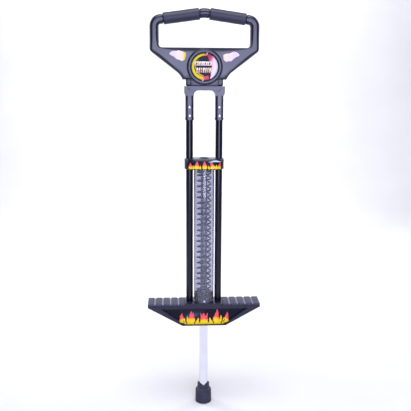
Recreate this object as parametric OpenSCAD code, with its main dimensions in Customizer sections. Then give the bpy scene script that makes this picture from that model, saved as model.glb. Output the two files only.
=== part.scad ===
/* [Levels] */
// Height of the footrest's underside above the ground
ground_clear = 243; // [234:1:300]
// Clear height between the footrest's deck and the bridge
bay_h = 376.5; // [330:0.5:470]
// Clear height between the bridge and the yoke's legs
upper_gap = 103.5; // [50:0.5:160]
// Length of the spring's travel
stroke = 120; // [60:1:140]

/* [Frame tubes] */
// Gap between each tube and the clear guard
tube_gap = 2.5; // [2.5:0.5:8]
// Outer diameter of the twin tubes
tube_d = 19; // [16:0.1:23]
// Wall of the twin tubes
tube_wall = 1.5; // [1:0.1:2.5]
// Gap on the diameter between a tube and the socket it is fitted in
socket_clear = 0.1; // [0.05:0.05:0.3]

/* [Handle] */
// Width over the two upright arms
handle_w = 290; // [270:1:350]
// Diameter of the arms and corners
arm_d = 25; // [22:0.5:30]
// Height of the straight arms above the panel's top edge
arm_h = 54; // [45:1:80]
// Bend radius at the top corners, along the middle of the arm
corner_r = 17.5; // [15:0.5:28]
// Slope of the two halves of the grip bar, in degrees
bar_slope = 8; // [4:0.5:12]
// Diameter of the bar under the grips
bar_d = 20; // [18:0.5:21]
// Wall of the two handle shells
shell_wall = 3; // [2.5:0.1:4]
// Fillet inside the lower corners of the hand opening
opening_r = 8; // [4:0.5:14]

/* [Panel] */
// Width that the panel's foot stands out past the neck, on each side
panel_step = 9; // [6:0.5:12]
// Slope of the panel's lower edges, in degrees
edge_slope = 37.5; // [34:0.5:40]
// Radius of the sweep from the lower edges to the neck
sweep_r = 47; // [40:1:90]
// Slope of the sweep where it ends at the neck, in degrees
sweep_end = 68; // [60:1:80]
// Height of the arms' outer sides that runs down past the hand opening
panel_lip = 8.5; // [2:0.5:10]
// Radius of the outer lower corners
corner_low_r = 15; // [6:0.5:20]
// Thickness of the panel, front to back
panel_t = 25; // [20:0.5:30]
// Least height of the neck below the panel
neck_min_h = 17; // [10:0.5:24]
// Width that the neck stands back from the flange, on each side
neck_step = 4.5; // [3:0.5:7]
// Width that the neck's raised plate stands back from its sides
plate_step = 12; // [9:0.5:15]
// Thickness of the neck beside its plate
neck_t = 16; // [14:0.5:20]

/* [Grips] */
// Outer diameter of the foam grips
grip_d = 30.5; // [27:0.5:36]
// Length of each foam grip
grip_len = 96; // [80:1:104]
// Width of the collar between the grips
collar_w = 26; // [18:1:34]
// Outer diameter of the collar between the grips
collar_d = 24.5; // [22:0.5:28]
// Gap on the diameter between the bar and what is slipped over it
bar_clear = 0.2; // [0.1:0.1:0.4]

/* [Dial] */
// Outer diameter of the round bezel
bezel_d = 95; // [86:0.5:114]
// Diameter of the dial face
dial_d = 75.4; // [66:0.2:78]
// Height of the bezel above the panel
bezel_h = 4.5; // [3:0.5:6]
// Thickness of the dial face
dial_t = 1; // [0.5:0.1:2]
// Length of each wing decal
wing_decal_w = 44; // [30:1:50]
// Height of each wing decal
wing_decal_h = 27; // [18:1:30]
// Thickness of the decals
decal_t = 0.4; // [0.3:0.1:0.6]

/* [Yoke] */
// Width that the flange stands out past the legs, on each side
flange_lip = 2.7; // [2:0.1:5]
// Height of the yoke's flange
flange_h = 21; // [18:0.5:26]
// Thickness of the yoke's flange, front to back
flange_t = 31; // [28:0.5:36]
// Wall of the socket legs
leg_wall = 1.75; // [1.5:0.05:3]
// Length of the socket legs below the flange
leg_h = 68; // [50:1:90]
// Width of the flat strip on the legs' fronts
strip_w = 10; // [9:0.5:14]
// Material between the tube and the flat strip
strip_t = 3.5; // [3:0.5:5]
// Radius of the arch between the legs
arch_r = 12.5; // [6:0.5:20]
// Material over the top ends of the tubes
roof_t = 5; // [3:0.5:6]
// Distance between the two screws of a leg
screw_gap = 23; // [16:1:36]
// Distance of the lower screw above the leg's end
screw_up = 11; // [8:0.5:16]

/* [Screws] */
// Shank diameter of the frame's screws
screw_d = 4; // [3:0.1:5]
// Head diameter of the frame's screws
screw_head_d = 6.6; // [6:0.1:9]
// Head height of the frame's screws
screw_head_h = 2; // [1.5:0.1:3]
// Shank diameter of the handle's screws
small_screw_d = 3; // [2.5:0.1:3.5]
// Gap on the diameter between a screw and its hole
screw_clear = 0.2; // [0.1:0.1:0.4]

/* [Bridge] */
// Wall between each frame tube and the bridge's end
bridge_end_wall = 4.25; // [2.5:0.25:6]
// Wall between the clear guard and the bridge's front and back
bridge_wall = 2.5; // [2.5:0.5:5]
// Height of the bridge
bridge_h = 29; // [24:1:40]
// Depth of the guard's seats in the bridge
guard_seat = 6; // [4:0.5:8]
// Margin of the bridge decal above and below
bridge_decal_edge = 3; // [2:0.5:6]
// Diameter of the top bolt's head
bolt_head_d = 22; // [16:1:24]
// Height of the top bolt's head
bolt_head_h = 3; // [2.5:0.5:8]
// Shank diameter of the top bolt
bolt_d = 10; // [8:0.5:12]

/* [Spring unit] */
// Gap between the spring and the clear guard
spring_room = 5.5; // [4:0.5:6]
// Wall of the clear guard
guard_wall = 2; // [1.5:0.1:2.5]
// Gap between the spring and the seat's collar inside it
spring_fit = 0.8; // [0.5:0.1:1.5]
// Wire diameter of the spring
spring_wire = 4.6; // [3.5:0.1:5]
// Number of turns of the spring
spring_turns = 25; // [18:1:28]
// Wall of the bush on the guide rod
rod_bush_wall = 1.45; // [1.2:0.05:2.5]
// Wall of the guide rod
rod_wall = 2; // [1.5:0.1:3]
// Gap between the spring seats and the clear guard
seat_room = 4; // [3.5:0.25:5]
// Wall of the lower spring seat's collar
seat_wall = 2.6; // [2:0.1:4]
// Thickness of the spring seats
seat_t = 4; // [3:0.5:6]
// Height of the rebound bumper
bumper_h = 10; // [6:0.5:14]
// Gap left at each end of the spring unit's stack
stack_gap = 0.3; // [0.2:0.1:0.5]

/* [Plunger] */
// Outer diameter of the plunger tube
plunger_d = 25; // [22:0.5:30]
// Wall of the plunger tube
plunger_wall = 1.5; // [1.2:0.1:2.5]
// Gap on the radius between sliding faces
slide_gap = 0.05; // [0.03:0.01:0.09]
// Length that the guide rod reaches into the plunger
rod_overlap = 124; // [90:1:130]
// Length of the bush on the guide rod's end
rod_bush_len = 36; // [20:1:50]
// Wall of the bush in the footrest
bush_wall = 2.95; // [2:0.05:4]

/* [Footrest] */
// Length of the footrest, side to side
rest_len = 315; // [300:1:380]
// Wall between the clear guard and the front and back of the footrest
deck_edge = 1.5; // [1.5:0.5:6]
// Height of the footrest
rest_h = 65; // [60:1:80]
// Height of the footrest's upright ends, without the treads
rest_end_h = 5; // [4:0.5:12]
// Width of the flat underside past the frame tubes, on each side
flat_margin = 11.5; // [9:0.5:20]
// Width of the deck's plain middle past the frame tubes, on each side
mid_margin = 2.5; // [2:0.5:8]
// Height of the treads
tread_h = 6; // [4:0.5:8]
// Number of ribs on each tread
rib_n = 5; // [3:1:6]
// Width of each rib
rib_w = 17.6; // [12:0.2:18]
// Thickness of the tread under its ribs
tread_base = 1.5; // [1:0.1:2]
// Depth of the recesses in the front and the back
recess_d = 5; // [3:0.5:7]
// Width of the band above the recesses
recess_band = 15; // [12:0.5:18]
// Width of the border beside the recesses at their top
recess_side = 35; // [30:1:50]
// Width of the border beside the recesses at their bottom
recess_low_side = 5; // [5:0.5:15]
// Width of the border under the recesses
recess_rim = 1.5; // [1.5:0.5:5]
// Wall of the footrest's underside pockets
rest_wall = 3.5; // [3:0.1:5]
// Floor under the frame tubes
socket_floor = 10; // [8:0.5:14]
// Depth of the well in the deck for the guard
well_d = 12; // [9:0.5:20]
// Height of the collar inside the guard, above the deck
guard_collar_h = 27; // [20:0.5:34]
// Wall of the collar inside the guard
guard_collar_wall = 2.2; // [2:0.1:3]
// Width of the collar's front left standing beside its notch
notch_side = 9; // [7:0.5:14]

/* [Rubber foot] */
// Diameter of the foot at the ground
foot_d = 47; // [41:0.5:56]
// Taper of the foot's body, on the diameter
foot_taper = 1.5; // [0:0.5:4]
// Height of the foot's body
foot_body_h = 41; // [34:0.5:50]
// Height of the whole foot
foot_h = 57.5; // [52:0.5:72]
// Rubber around the plunger in the foot's collar
foot_collar_wall = 4.5; // [3:0.5:6]
// Rubber under the steel washer
foot_sole = 12; // [8:0.5:16]
// Thickness of the steel washer
washer_t = 2; // [1.5:0.1:3]
// Depth of the notches in the foot's collar
foot_notch = 6.5; // [4:0.5:12]

/* [Hidden] */
$fn = 64;
eps = 0.01;
big = 400;

rod_d = plunger_d - 2 * (plunger_wall + slide_gap + rod_bush_wall);
rod_bore = rod_d - 2 * rod_wall;
plunger_bore = plunger_d - 2 * plunger_wall;
bush_d = plunger_d + 2 * (slide_gap + bush_wall);
seat_collar_d = plunger_d + 2 * seat_wall;
spring_d = seat_collar_d + 2 * (spring_fit + spring_wire);
guard_bore = spring_d + 2 * spring_room;
guard_d = guard_bore + 2 * guard_wall;
seat_d = guard_bore - 2 * seat_room;
tube_spacing = guard_d + tube_d + 2 * tube_gap;
tube_x = tube_spacing / 2;
leg_d = tube_d + socket_clear + 2 * leg_wall;
leg_hw = tube_x + leg_d / 2;
arch_hw = tube_x - leg_d / 2;
strip_y = tube_d / 2 + strip_t;
flange_w = 2 * (leg_hw + flange_lip);
neck_w = flange_w - 2 * neck_step;
neck_plate_w = neck_w - 2 * plate_step;
panel_foot_w = neck_w + 2 * panel_step;
bridge_w = tube_spacing + tube_d + 2 * bridge_end_wall;
bridge_t = guard_d + 2 * bridge_wall;
guard_collar_d = guard_bore - socket_clear;
notch_hw = guard_collar_d / 2 - notch_side;
rest_t = guard_d + socket_clear + 2 * deck_edge;
rest_flat_w = tube_spacing + tube_d + 2 * flat_margin;
mid_hw = (tube_spacing + tube_d) / 2 + mid_margin;
recess_hw = rest_len / 2 - recess_side;
recess_foot_hw = rest_flat_w / 2 - recess_low_side;
foot_waist_d = foot_d - foot_taper;
foot_collar_d = plunger_d + 2 * foot_collar_wall;
z_deck = ground_clear + rest_h;
z_tread = z_deck - tread_h;
z_rest_end = z_tread - rest_end_h;
z_bridge = z_deck + bay_h;
z_bridge_top = z_bridge + bridge_h;
z_leg = z_bridge_top + upper_gap;
z_flange = z_leg + leg_h;
z_neck = z_flange + flange_h;
z_tube_low = ground_clear + socket_floor;
z_tube_high = z_neck - roof_t;

// Panel: the sweep is an arc from the neck, and the straight edge is its tangent
hand_hw = handle_w / 2;
arm_x = hand_hw - arm_d / 2;
opening_hw = hand_hw - arm_d;
sweep_x = panel_foot_w / 2 + sweep_r * sin(sweep_end);
edge_x = sweep_x - sweep_r * sin(edge_slope);
edge_rise = sweep_r * (cos(edge_slope) - cos(sweep_end)) + (hand_hw - edge_x) * tan(edge_slope);
panel_h = edge_rise + panel_lip;
bezel_gap = 2.5;
neck_h = max(neck_min_h, bezel_d + 2 * bezel_gap - panel_h);
z_panel = z_neck + neck_h;
z_panel_top = z_panel + panel_h;
sweep_z = z_panel - sweep_r * cos(sweep_end);
edge_end_z = z_panel_top - panel_lip;
low_z = edge_end_z + corner_low_r * (1 - sin(edge_slope)) / cos(edge_slope);
fillet_z = z_panel_top + opening_r;
arm_root_z = max(low_z, fillet_z);

// Grip bar: a corner bend from each arm, then a straight slope to the middle
z_corner = z_panel_top + arm_h;
bend = 90 - bar_slope;
bar_end_x = arm_x - corner_r * (1 - cos(bend));
z_bar = z_corner + corner_r * sin(bend) + bar_end_x * tan(bar_slope);
bar_len = bar_end_x / cos(bar_slope);
end_gap = 0.8;
grip_start = collar_w / 2 + end_gap;
grip_end = grip_start + grip_len;

// Tongue that plugs the handle into the yoke
tongue_hw = tube_x - tube_d / 2 - 4.5;
tongue_t = 12;
tongue_h = 8;
tongue_gap = 0.3;
z_arch = z_neck - tongue_h - 3;

// Dial centre: the bezel stays just under the panel's top edge
z_dial = z_panel_top - bezel_d / 2 - bezel_gap;
z_wing = z_panel_top - wing_decal_h / 2 - 8;
wing_x = bezel_d / 2 + wing_decal_w / 2 + 0.5;

// Foot
z_washer = foot_sole;
z_plunger_low = z_washer + washer_t;
plug_h = 30;
foot_washer_d = plunger_d + 7;
z_pin = foot_body_h - 6;
pin_d = 5;

// Spring unit, from the guard's well upwards
z_well = z_deck - well_d;
bush_flange_h = 3;
z_recess = min(z_deck - recess_band, z_well - 3);
z_bumper = z_well + bush_flange_h + stack_gap;
z_seat = z_bumper + bumper_h;
z_spring_low = z_seat + seat_t + stack_gap;
seat_collar_h = 12;
z_plunger_top = z_seat + seat_t + seat_collar_h - 3;
z_spring_high = z_bridge - seat_t - stack_gap;
rod_cap = 4;
plug_gap = 2;
z_rod_low = max(z_plunger_top - rod_overlap, z_plunger_low + plug_h + stroke + rod_cap + plug_gap);
z_rod_top = z_bridge_top - rod_cap;

yoke_screw_x = tongue_hw - 8;
yoke_screw_z = z_neck - tongue_h / 2;
leg_screw_z = [z_leg + screw_up, z_leg + screw_up + screw_gap];
rest_screw_z = ground_clear + rest_h * 0.41;
boss_d = 9;
boss_places = [[arm_x - 28, z_panel_top - 16], [wing_x, z_panel_top - wing_decal_h - 14],
    [neck_plate_w / 2 + 6, z_panel + 12], [26, z_panel_top - 9]];

function arc(cx, cz, r, a0, a1, n) =
    [for (i = [0 : n]) let (a = a0 + (a1 - a0) * i / n) [cx + r * cos(a), cz + r * sin(a)]];
function mirrored(pts) = concat(pts, [for (i = [len(pts) - 1 : -1 : 0]) [-pts[i][0], pts[i][1]]]);

// Right half of the panel's outline, from the neck up to the hand opening
function panel_half() = concat(
    arc(sweep_x, sweep_z, sweep_r, 90 + sweep_end, 90 + edge_slope, 8),
    arc(hand_hw - corner_low_r, low_z, corner_low_r, edge_slope - 90, 0, 6),
    [[hand_hw, arm_root_z + eps], [opening_hw, arm_root_z + eps]],
    arc(opening_hw - opening_r, fillet_z, opening_r, 0, -90, 5));

// Extrudes an X-Z outline through y0 to y1
module plate(y0, y1) {
    translate([0, y1, 0]) rotate([90, 0, 0]) linear_extrude(y1 - y0) children();
}
module pole(d, z0, z1) { translate([0, 0, z0]) cylinder(d = d, h = z1 - z0); }
module ring(d, bore, z0, z1) {
    difference() { pole(d, z0, z1); pole(bore, z0 - 1, z1 + 1); }
}
module both_sides() { children(); mirror([1, 0, 0]) children(); }
// A pin along Y from y0 to y1
module pin_y(x, z, d, y0, y1) { translate([x, y1, z]) rotate([90, 0, 0]) cylinder(d = d, h = y1 - y0); }
// A round bar along the right half of the grip bar, from s0 to s1 along its axis
module bar_seg(d, s0, s1) {
    translate([0, 0, z_bar]) rotate([0, 90 + bar_slope, 0]) translate([0, 0, s0]) cylinder(d = d, h = s1 - s0);
}

// Handle
module corner(d, turn) {
    translate([arm_x - corner_r, 0, z_corner]) rotate([90, 0, 0]) rotate_extrude(angle = turn)
        translate([corner_r, 0]) circle(d = d);
}
// The corner meets the bar under a low bead, and a web closes the hollow there
module loop_outer() {
    both_sides() {
        translate([arm_x, 0, 0]) pole(arm_d, z_panel_top - 1, z_corner);
        corner(arm_d, bend);
        bar_seg(arm_d, grip_end + end_gap, bar_len - 1);
        bar_seg(arm_d + 0.6, bar_len - 4, bar_len + 1);
        bar_seg(bar_d, 0, bar_len - 2);
    }
    translate([0, 0, z_bar]) sphere(d = bar_d);
}
module loop_hollow() {
    inner = bar_d - 2 * shell_wall;
    both_sides() {
        translate([arm_x, 0, 0]) pole(arm_d - 2 * shell_wall, z_panel_top - 1, z_corner);
        corner(arm_d - 2 * shell_wall, bend - 12);
        bar_seg(inner, 0, bar_len - 5);
    }
    translate([0, 0, z_bar]) sphere(d = inner);
}
module panel_outline() { polygon(mirrored(panel_half())); }
module neck_box(w, t, z0, z1) { translate([-w / 2, -t / 2, z0]) cube([w, t, z1 - z0]); }
module tongue_box(g) { neck_box(2 * (tongue_hw + g), tongue_t + 2 * g, z_neck - tongue_h - g, z_neck); }
module handle_outer() {
    loop_outer();
    plate(-panel_t / 2, panel_t / 2) panel_outline();
    neck_box(neck_w, neck_t, z_neck, z_panel + 1);
    neck_box(neck_plate_w, panel_t, z_neck, z_panel + 1);
    translate([0, 0, tongue_gap]) tongue_box(0);
}
module handle_hollow() {
    loop_hollow();
    plate(shell_wall - panel_t / 2, panel_t / 2 - shell_wall) offset(delta = -shell_wall) panel_outline();
    neck_box(neck_w - 2 * shell_wall, neck_t - 2 * shell_wall, z_neck + shell_wall, z_panel + shell_wall + 1);
}
module half_space(front) { translate([-big, front ? -big : 0, 0]) cube([2 * big, big, 3 * big]); }
module at_bosses() { both_sides() for (p = boss_places) translate([p[0], 0, p[1]]) children(); }
module handle_shell(front) {
    difference() {
        intersection() {
            union() {
                difference() { handle_outer(); handle_hollow(); }
                at_bosses() pin_y(0, 0, boss_d, -panel_t / 2 + 1, panel_t / 2 - 1);
            }
            half_space(front);
        }
        at_bosses() pin_y(0, 0, small_screw_d + screw_clear, -panel_t / 2 + 4, panel_t);
        at_bosses() pin_y(0, 0, screw_head_d + screw_clear, panel_t / 2 - 3, panel_t);
        both_sides() pin_y(yoke_screw_x, yoke_screw_z, small_screw_d + screw_clear, -flange_t, flange_t);
    }
}
module handle_front_shell() { color("#34364f") handle_shell(true); }
module handle_back_shell() { color("#34364f") handle_shell(false); }
module shell_screws() {
    color("silver") at_bosses() {
        pin_y(0, 0, small_screw_d, -panel_t / 2 + 5, panel_t / 2 - 2.9);
        pin_y(0, 0, screw_head_d, panel_t / 2 - 3, panel_t / 2 - 1);
    }
}
module grip() {
    difference() { bar_seg(grip_d, grip_start, grip_end); bar_seg(bar_d + bar_clear, 0, bar_len); }
}
module grip_left() { color("#3c3e55") mirror([1, 0, 0]) grip(); }
module grip_right() { color("#3c3e55") grip(); }
module grip_collar() {
    color("#34364f") difference() {
        both_sides() intersection() {
            bar_seg(collar_d, -6, collar_w / 2);
            translate([0, -big, 0]) cube([big, 2 * big, 4 * big]);
        }
        both_sides() bar_seg(bar_d + bar_clear, 0, collar_w);
        translate([0, 0, z_bar]) sphere(d = bar_d + bar_clear);
    }
}

// Dial and decals
module bezel_ring() {
    color("#2c2e46") difference() {
        union() {
            pin_y(0, z_dial, bezel_d, -panel_t / 2 - bezel_h * 0.55, -panel_t / 2);
            pin_y(0, z_dial, bezel_d - 6, -panel_t / 2 - bezel_h, -panel_t / 2);
        }
        pin_y(0, z_dial, dial_d + 0.2, -panel_t, 0);
    }
}
module dial_face() { color("#1c1d2e") pin_y(0, z_dial, dial_d, -panel_t / 2 - dial_t, -panel_t / 2); }
module wing_decal() {
    plate(-panel_t / 2 - decal_t, -panel_t / 2) translate([wing_x, z_wing])
        polygon([for (a = [0 : 20 : 340]) [wing_decal_w / 2 * cos(a), wing_decal_h / 2 * sin(a)]]);
}
module wing_decal_left() { color("#e6c8dc") mirror([1, 0, 0]) wing_decal(); }
module wing_decal_right() { color("#e6c8dc") wing_decal(); }

// Yoke: a flange with an arch under it, and two socket legs
function flange_half() = concat(
    [[flange_w / 2, z_neck], [flange_w / 2, z_flange + 4], [leg_hw, z_flange - 4], [arch_hw, z_flange - 4]],
    arc(arch_hw - arch_r, z_arch - arch_r, arch_r, 0, 90, 6));
module leg_section(d) {
    translate([tube_x, 0]) {
        circle(d = d);
        translate([-strip_w / 2, -strip_y]) square([strip_w, 2 * strip_y]);
    }
}
module handle_yoke() {
    color("#34364f") difference() {
        union() {
            plate(-flange_t / 2, flange_t / 2) polygon(mirrored(flange_half()));
            both_sides() {
                translate([0, 0, z_leg]) linear_extrude(leg_h) leg_section(leg_d);
                translate([0, 0, z_leg]) linear_extrude(6) leg_section(leg_d + 1);
            }
            translate([-neck_plate_w / 2 - 2, -flange_t / 2 - 1.5, z_arch + 1]) cube([neck_plate_w + 4, flange_t / 2, 7]);
        }
        both_sides() {
            translate([tube_x, 0, 0]) pole(tube_d + socket_clear, z_leg - 1, z_tube_high);
            pin_y(yoke_screw_x, yoke_screw_z, small_screw_d + screw_clear, -tongue_t, big);
            for (z = leg_screw_z) pin_y(tube_x, z, screw_d + screw_clear, -big, 0);
        }
        translate([0, 0, tongue_gap]) tongue_box(tongue_gap);
    }
}
module yoke_screws() {
    color("silver") both_sides() {
        pin_y(yoke_screw_x, yoke_screw_z, small_screw_d, -tongue_t / 2 + 1, flange_t / 2 + 1);
        pin_y(yoke_screw_x, yoke_screw_z, screw_head_d - 0.6, flange_t / 2, flange_t / 2 + screw_head_h);
    }
}
module socket_screws() {
    color("silver") both_sides() for (z = leg_screw_z) {
        pin_y(tube_x, z, screw_d, -strip_y - 1, -tube_d / 2 + tube_wall + 3);
        pin_y(tube_x, z, screw_head_d, -strip_y - screw_head_h, -strip_y);
    }
}

// Frame tubes
module frame_tube() {
    difference() {
        translate([tube_x, 0, 0]) ring(tube_d, tube_d - 2 * tube_wall, z_tube_low, z_tube_high);
        for (z = leg_screw_z) pin_y(tube_x, z, screw_d + screw_clear, -big, 0);
        for (z = [rest_screw_z, z_bridge + bridge_h / 2]) pin_y(tube_x, z, screw_d + screw_clear, 0, big);
    }
}
module frame_tube_left() { color("#0e0f1c") mirror([1, 0, 0]) frame_tube(); }
module frame_tube_right() { color("#0e0f1c") frame_tube(); }

// Bridge
bridge_x = (bridge_w - bridge_t) / 2;
module stadium(g, z0, z1) {
    both_sides() translate([bridge_x, 0, 0]) pole(bridge_t + 2 * g, z0, z1);
    translate([-bridge_x, -bridge_t / 2 - g, z0]) cube([2 * bridge_x, bridge_t + 2 * g, z1 - z0]);
}
bridge_back_y = sqrt(pow(bridge_t / 2, 2) - pow(max(tube_x - bridge_x, 0), 2));
bridge_head_y = bridge_back_y - screw_head_h - 2.5;
module mid_bridge() {
    color("#34364f") difference() {
        stadium(0, z_bridge, z_bridge_top);
        both_sides() {
            translate([tube_x, 0, 0]) pole(tube_d + socket_clear, z_bridge - 1, z_bridge_top + 1);
            pin_y(tube_x, z_bridge + bridge_h / 2, screw_d + screw_clear, 0, big);
            pin_y(tube_x, z_bridge + bridge_h / 2, screw_head_d + screw_clear, bridge_head_y, big);
        }
        pole(guard_d + socket_clear, z_bridge - 1, z_bridge + guard_seat);
        pole(rod_d + socket_clear, z_bridge, z_rod_top);
        pole(bolt_d + screw_clear, z_bridge, z_bridge_top + 1);
    }
}
module bridge_decal() {
    color("#f08a2c") intersection() {
        difference() {
            stadium(decal_t, z_bridge + bridge_decal_edge, z_bridge_top - bridge_decal_edge);
            stadium(0, z_bridge, z_bridge_top);
        }
        translate([-bridge_w / 2 + 8, -big, 0]) cube([bridge_w - 16, big - 10, 3 * big]);
    }
}
module bridge_screws() {
    color("silver") both_sides() {
        pin_y(tube_x, z_bridge + bridge_h / 2, screw_d, tube_d / 2 - tube_wall - 3, bridge_head_y + 0.5);
        pin_y(tube_x, z_bridge + bridge_h / 2, screw_head_d, bridge_head_y + 0.05, bridge_head_y + screw_head_h);
    }
}

// Spring unit
module guide_rod() {
    color("#9a9aa8") difference() {
        pole(rod_d, z_rod_low, z_rod_top);
        pole(rod_bore, z_rod_low - 1, z_bridge);
        pole(bolt_d, z_bridge - 1, z_rod_top + 1);
    }
}
module rod_bolt() {
    color("#55566a") union() {
        pole(bolt_d, z_bridge + 4, z_bridge_top + 1);
        pole(bolt_head_d, z_bridge_top, z_bridge_top + bolt_head_h);
    }
}
module rod_bush() {
    color("ivory") difference() {
        pole(plunger_bore - 2 * slide_gap, z_rod_low - rod_cap, z_rod_low - rod_cap + rod_bush_len);
        pole(rod_d, z_rod_low, z_rod_low + rod_bush_len);
        pole(rod_bore - 7, 0, z_rod_low + 1);
    }
}
module upper_spring_seat() { color("#40415a") ring(seat_d, rod_d + 0.4, z_bridge - seat_t, z_bridge); }
// Coil: rings of a round wire section along a helix, joined into one closed tube
coil_sides = 6;
coil_steps = 14;
module spring() {
    mean_r = (spring_d - spring_wire) / 2;
    wire_r = spring_wire / 2;
    count = spring_turns * coil_steps;
    low = z_spring_low + wire_r;
    rise = z_spring_high - z_spring_low - spring_wire;
    pts = [for (i = [0 : count], k = [0 : coil_sides - 1])
        let (a = 360 * i / coil_steps, b = 360 * k / coil_sides, r = mean_r + wire_r * cos(b))
        [r * cos(a), r * sin(a), low + rise * i / count + wire_r * sin(b)]];
    side = [for (i = [0 : count - 1], k = [0 : coil_sides - 1])
        let (n = (k + 1) % coil_sides, p = i * coil_sides, q = p + coil_sides)
        [p + k, q + k, q + n, p + n]];
    start = [[for (k = [0 : coil_sides - 1]) k]];
    finish = [[for (k = [coil_sides - 1 : -1 : 0]) count * coil_sides + k]];
    color("#4a4a5e") polyhedron(pts, concat(side, start, finish), convexity = 10);
}
rivet_z = z_deck + 6;
module clear_guard() {
    color([0.8, 0.8, 0.9, 0.4]) difference() {
        ring(guard_d, guard_bore, z_well, z_bridge + guard_seat);
        pin_y(0, rivet_z, small_screw_d + screw_clear, -big, 0);
    }
}
// Notch outline: a U whose sides follow the fourth power of x, open at the top
function notch_pts() = concat(
    [for (i = [-8 : 8]) let (x = notch_hw * i / 8) [x, z_deck + 2 + (guard_collar_h - 2) * pow(x / notch_hw, 4)]],
    [[notch_hw, z_deck + guard_collar_h + 1], [-notch_hw, z_deck + guard_collar_h + 1]]);
module guard_collar() {
    color("#2c2e46") difference() {
        ring(guard_collar_d, guard_collar_d - 2 * guard_collar_wall, z_well, z_deck + guard_collar_h);
        plate(-guard_collar_d, 0) polygon(notch_pts());
    }
}
module guard_rivet() {
    color("silver") union() {
        pin_y(0, rivet_z, small_screw_d, -guard_d / 2 - 1, -guard_bore / 2 - 0.2);
        pin_y(0, rivet_z, screw_head_d - 0.6, -guard_d / 2 - 1.6, -guard_d / 2 - 0.1);
    }
}

// Footrest
rest_hw = rest_len / 2;
rest_face_y = rest_t / 2 - recess_d;
function rest_half() = [[rest_flat_w / 2, ground_clear], [rest_hw, z_rest_end], [rest_hw, z_tread],
    [mid_hw, z_tread], [mid_hw, z_deck]];
function recess_pts() = mirrored([[recess_foot_hw, ground_clear + recess_rim], [recess_hw, z_recess]]);
pocket_x0 = rest_flat_w / 2 + 5;
pocket_x1 = rest_hw - rest_wall - 3;
pocket_n = 3;
pocket_w = (pocket_x1 - pocket_x0 - (pocket_n - 1) * rest_wall) / pocket_n;
pocket_hy = rest_face_y - rest_wall;
module footrest_body() {
    color("#2c2e46") difference() {
        plate(-rest_t / 2, rest_t / 2) polygon(mirrored(rest_half()));
        plate(-rest_t, -rest_face_y) polygon(recess_pts());
        plate(rest_face_y, rest_t) polygon(recess_pts());
        both_sides() {
            for (i = [0 : pocket_n - 1])
                translate([pocket_x0 + i * (pocket_w + rest_wall), -pocket_hy, 0])
                    cube([pocket_w, 2 * pocket_hy, z_tread - rest_wall]);
            translate([tube_x, 0, 0]) pole(tube_d + socket_clear, z_tube_low, z_deck + 1);
            pin_y(tube_x, rest_screw_z, screw_d + screw_clear, 0, big);
        }
        pole(guard_d + socket_clear, z_well, z_deck + 1);
        pole(bush_d + socket_clear, 0, z_deck);
    }
}
tread_x0 = mid_hw + 0.3;
rib_pitch = (rest_hw - tread_x0 - rib_w) / (rib_n - 1);
module rib() {
    cut = 1.5;
    top = z_deck - z_tread;
    plate(-rest_t / 2, rest_t / 2) translate([0, z_tread])
        polygon([[0, 0], [rib_w, 0], [rib_w, top - cut], [rib_w - cut, top], [cut, top], [0, top - cut]]);
}
module tread() {
    translate([tread_x0, -rest_t / 2, z_tread]) cube([rest_hw - tread_x0, rest_t, tread_base]);
    for (i = [0 : rib_n - 1]) translate([tread_x0 + i * rib_pitch, 0, 0]) rib();
}
module tread_left() { color("#4a4c66") mirror([1, 0, 0]) tread(); }
module tread_right() { color("#4a4c66") tread(); }
module footrest_decal() {
    margin = 2;
    top = z_recess - 6;
    color("#f5d21c") plate(-rest_face_y - decal_t, -rest_face_y)
        polygon(mirrored([[recess_foot_hw - margin, ground_clear + recess_rim + margin], [recess_foot_hw + 10, top]]));
}
module footrest_screws() {
    color("silver") both_sides() {
        pin_y(tube_x, rest_screw_z, screw_d, tube_d / 2 - tube_wall - 3, rest_face_y + 1);
        pin_y(tube_x, rest_screw_z, screw_head_d, rest_face_y, rest_face_y + screw_head_h);
    }
}
module plunger_bush() {
    color("ivory") difference() {
        union() {
            pole(bush_d, ground_clear, z_well + 1);
            pole(seat_d, z_well, z_well + bush_flange_h);
        }
        pole(plunger_d + 2 * slide_gap, ground_clear - 1, z_deck);
    }
}

// Plunger
module plunger_tube() {
    color("#e4e5f2") difference() {
        ring(plunger_d, plunger_bore, z_plunger_low, z_plunger_top);
        pin_y(0, z_pin, pin_d, -big, big);
    }
}
module lower_spring_seat() {
    color("#55566a") difference() {
        union() {
            pole(seat_d, z_seat, z_seat + seat_t);
            pole(seat_collar_d, z_seat, z_seat + seat_t + seat_collar_h);
        }
        pole(plunger_d, z_seat - 1, z_plunger_top);
        pole(plunger_bore, z_seat, z_deck + big);
    }
}
module rebound_bumper() { color("#202030") ring(seat_d - 4, plunger_d + 0.2, z_bumper, z_seat); }
module rubber_foot() {
    r = foot_d / 2;
    w = foot_waist_d / 2;
    c = foot_collar_d / 2;
    edge = 2.5;
    shoulder = 5;
    profile = concat([[0, 0], [r - edge, 0]], arc(r - edge, edge, edge, -90, 0, 4),
        arc(w - shoulder, foot_body_h - shoulder, shoulder, 0, 70, 5),
        [[c, foot_body_h + 2], [c, foot_h], [0, foot_h]]);
    color("#33324f") difference() {
        rotate_extrude() polygon(profile);
        pole(plunger_d, z_plunger_low, foot_h + 1);
        pole(foot_washer_d, z_washer, z_plunger_low + eps);
        pin_y(0, z_pin, pin_d, -foot_d, foot_d);
        plate(-foot_d, foot_d) polygon([[0, foot_h - foot_notch], [c, foot_h], [c, foot_h + 1], [-c, foot_h + 1], [-c, foot_h]]);
    }
}
module foot_washer() { color("silver") pole(foot_washer_d, z_washer, z_plunger_low); }
module plunger_plug() {
    color("ivory") difference() {
        pole(plunger_bore, z_plunger_low, z_plunger_low + plug_h);
        pole(plunger_bore - 8, z_plunger_low + 4, z_plunger_low + plug_h + 1);
        pin_y(0, z_pin, pin_d, -big, big);
    }
}
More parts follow.
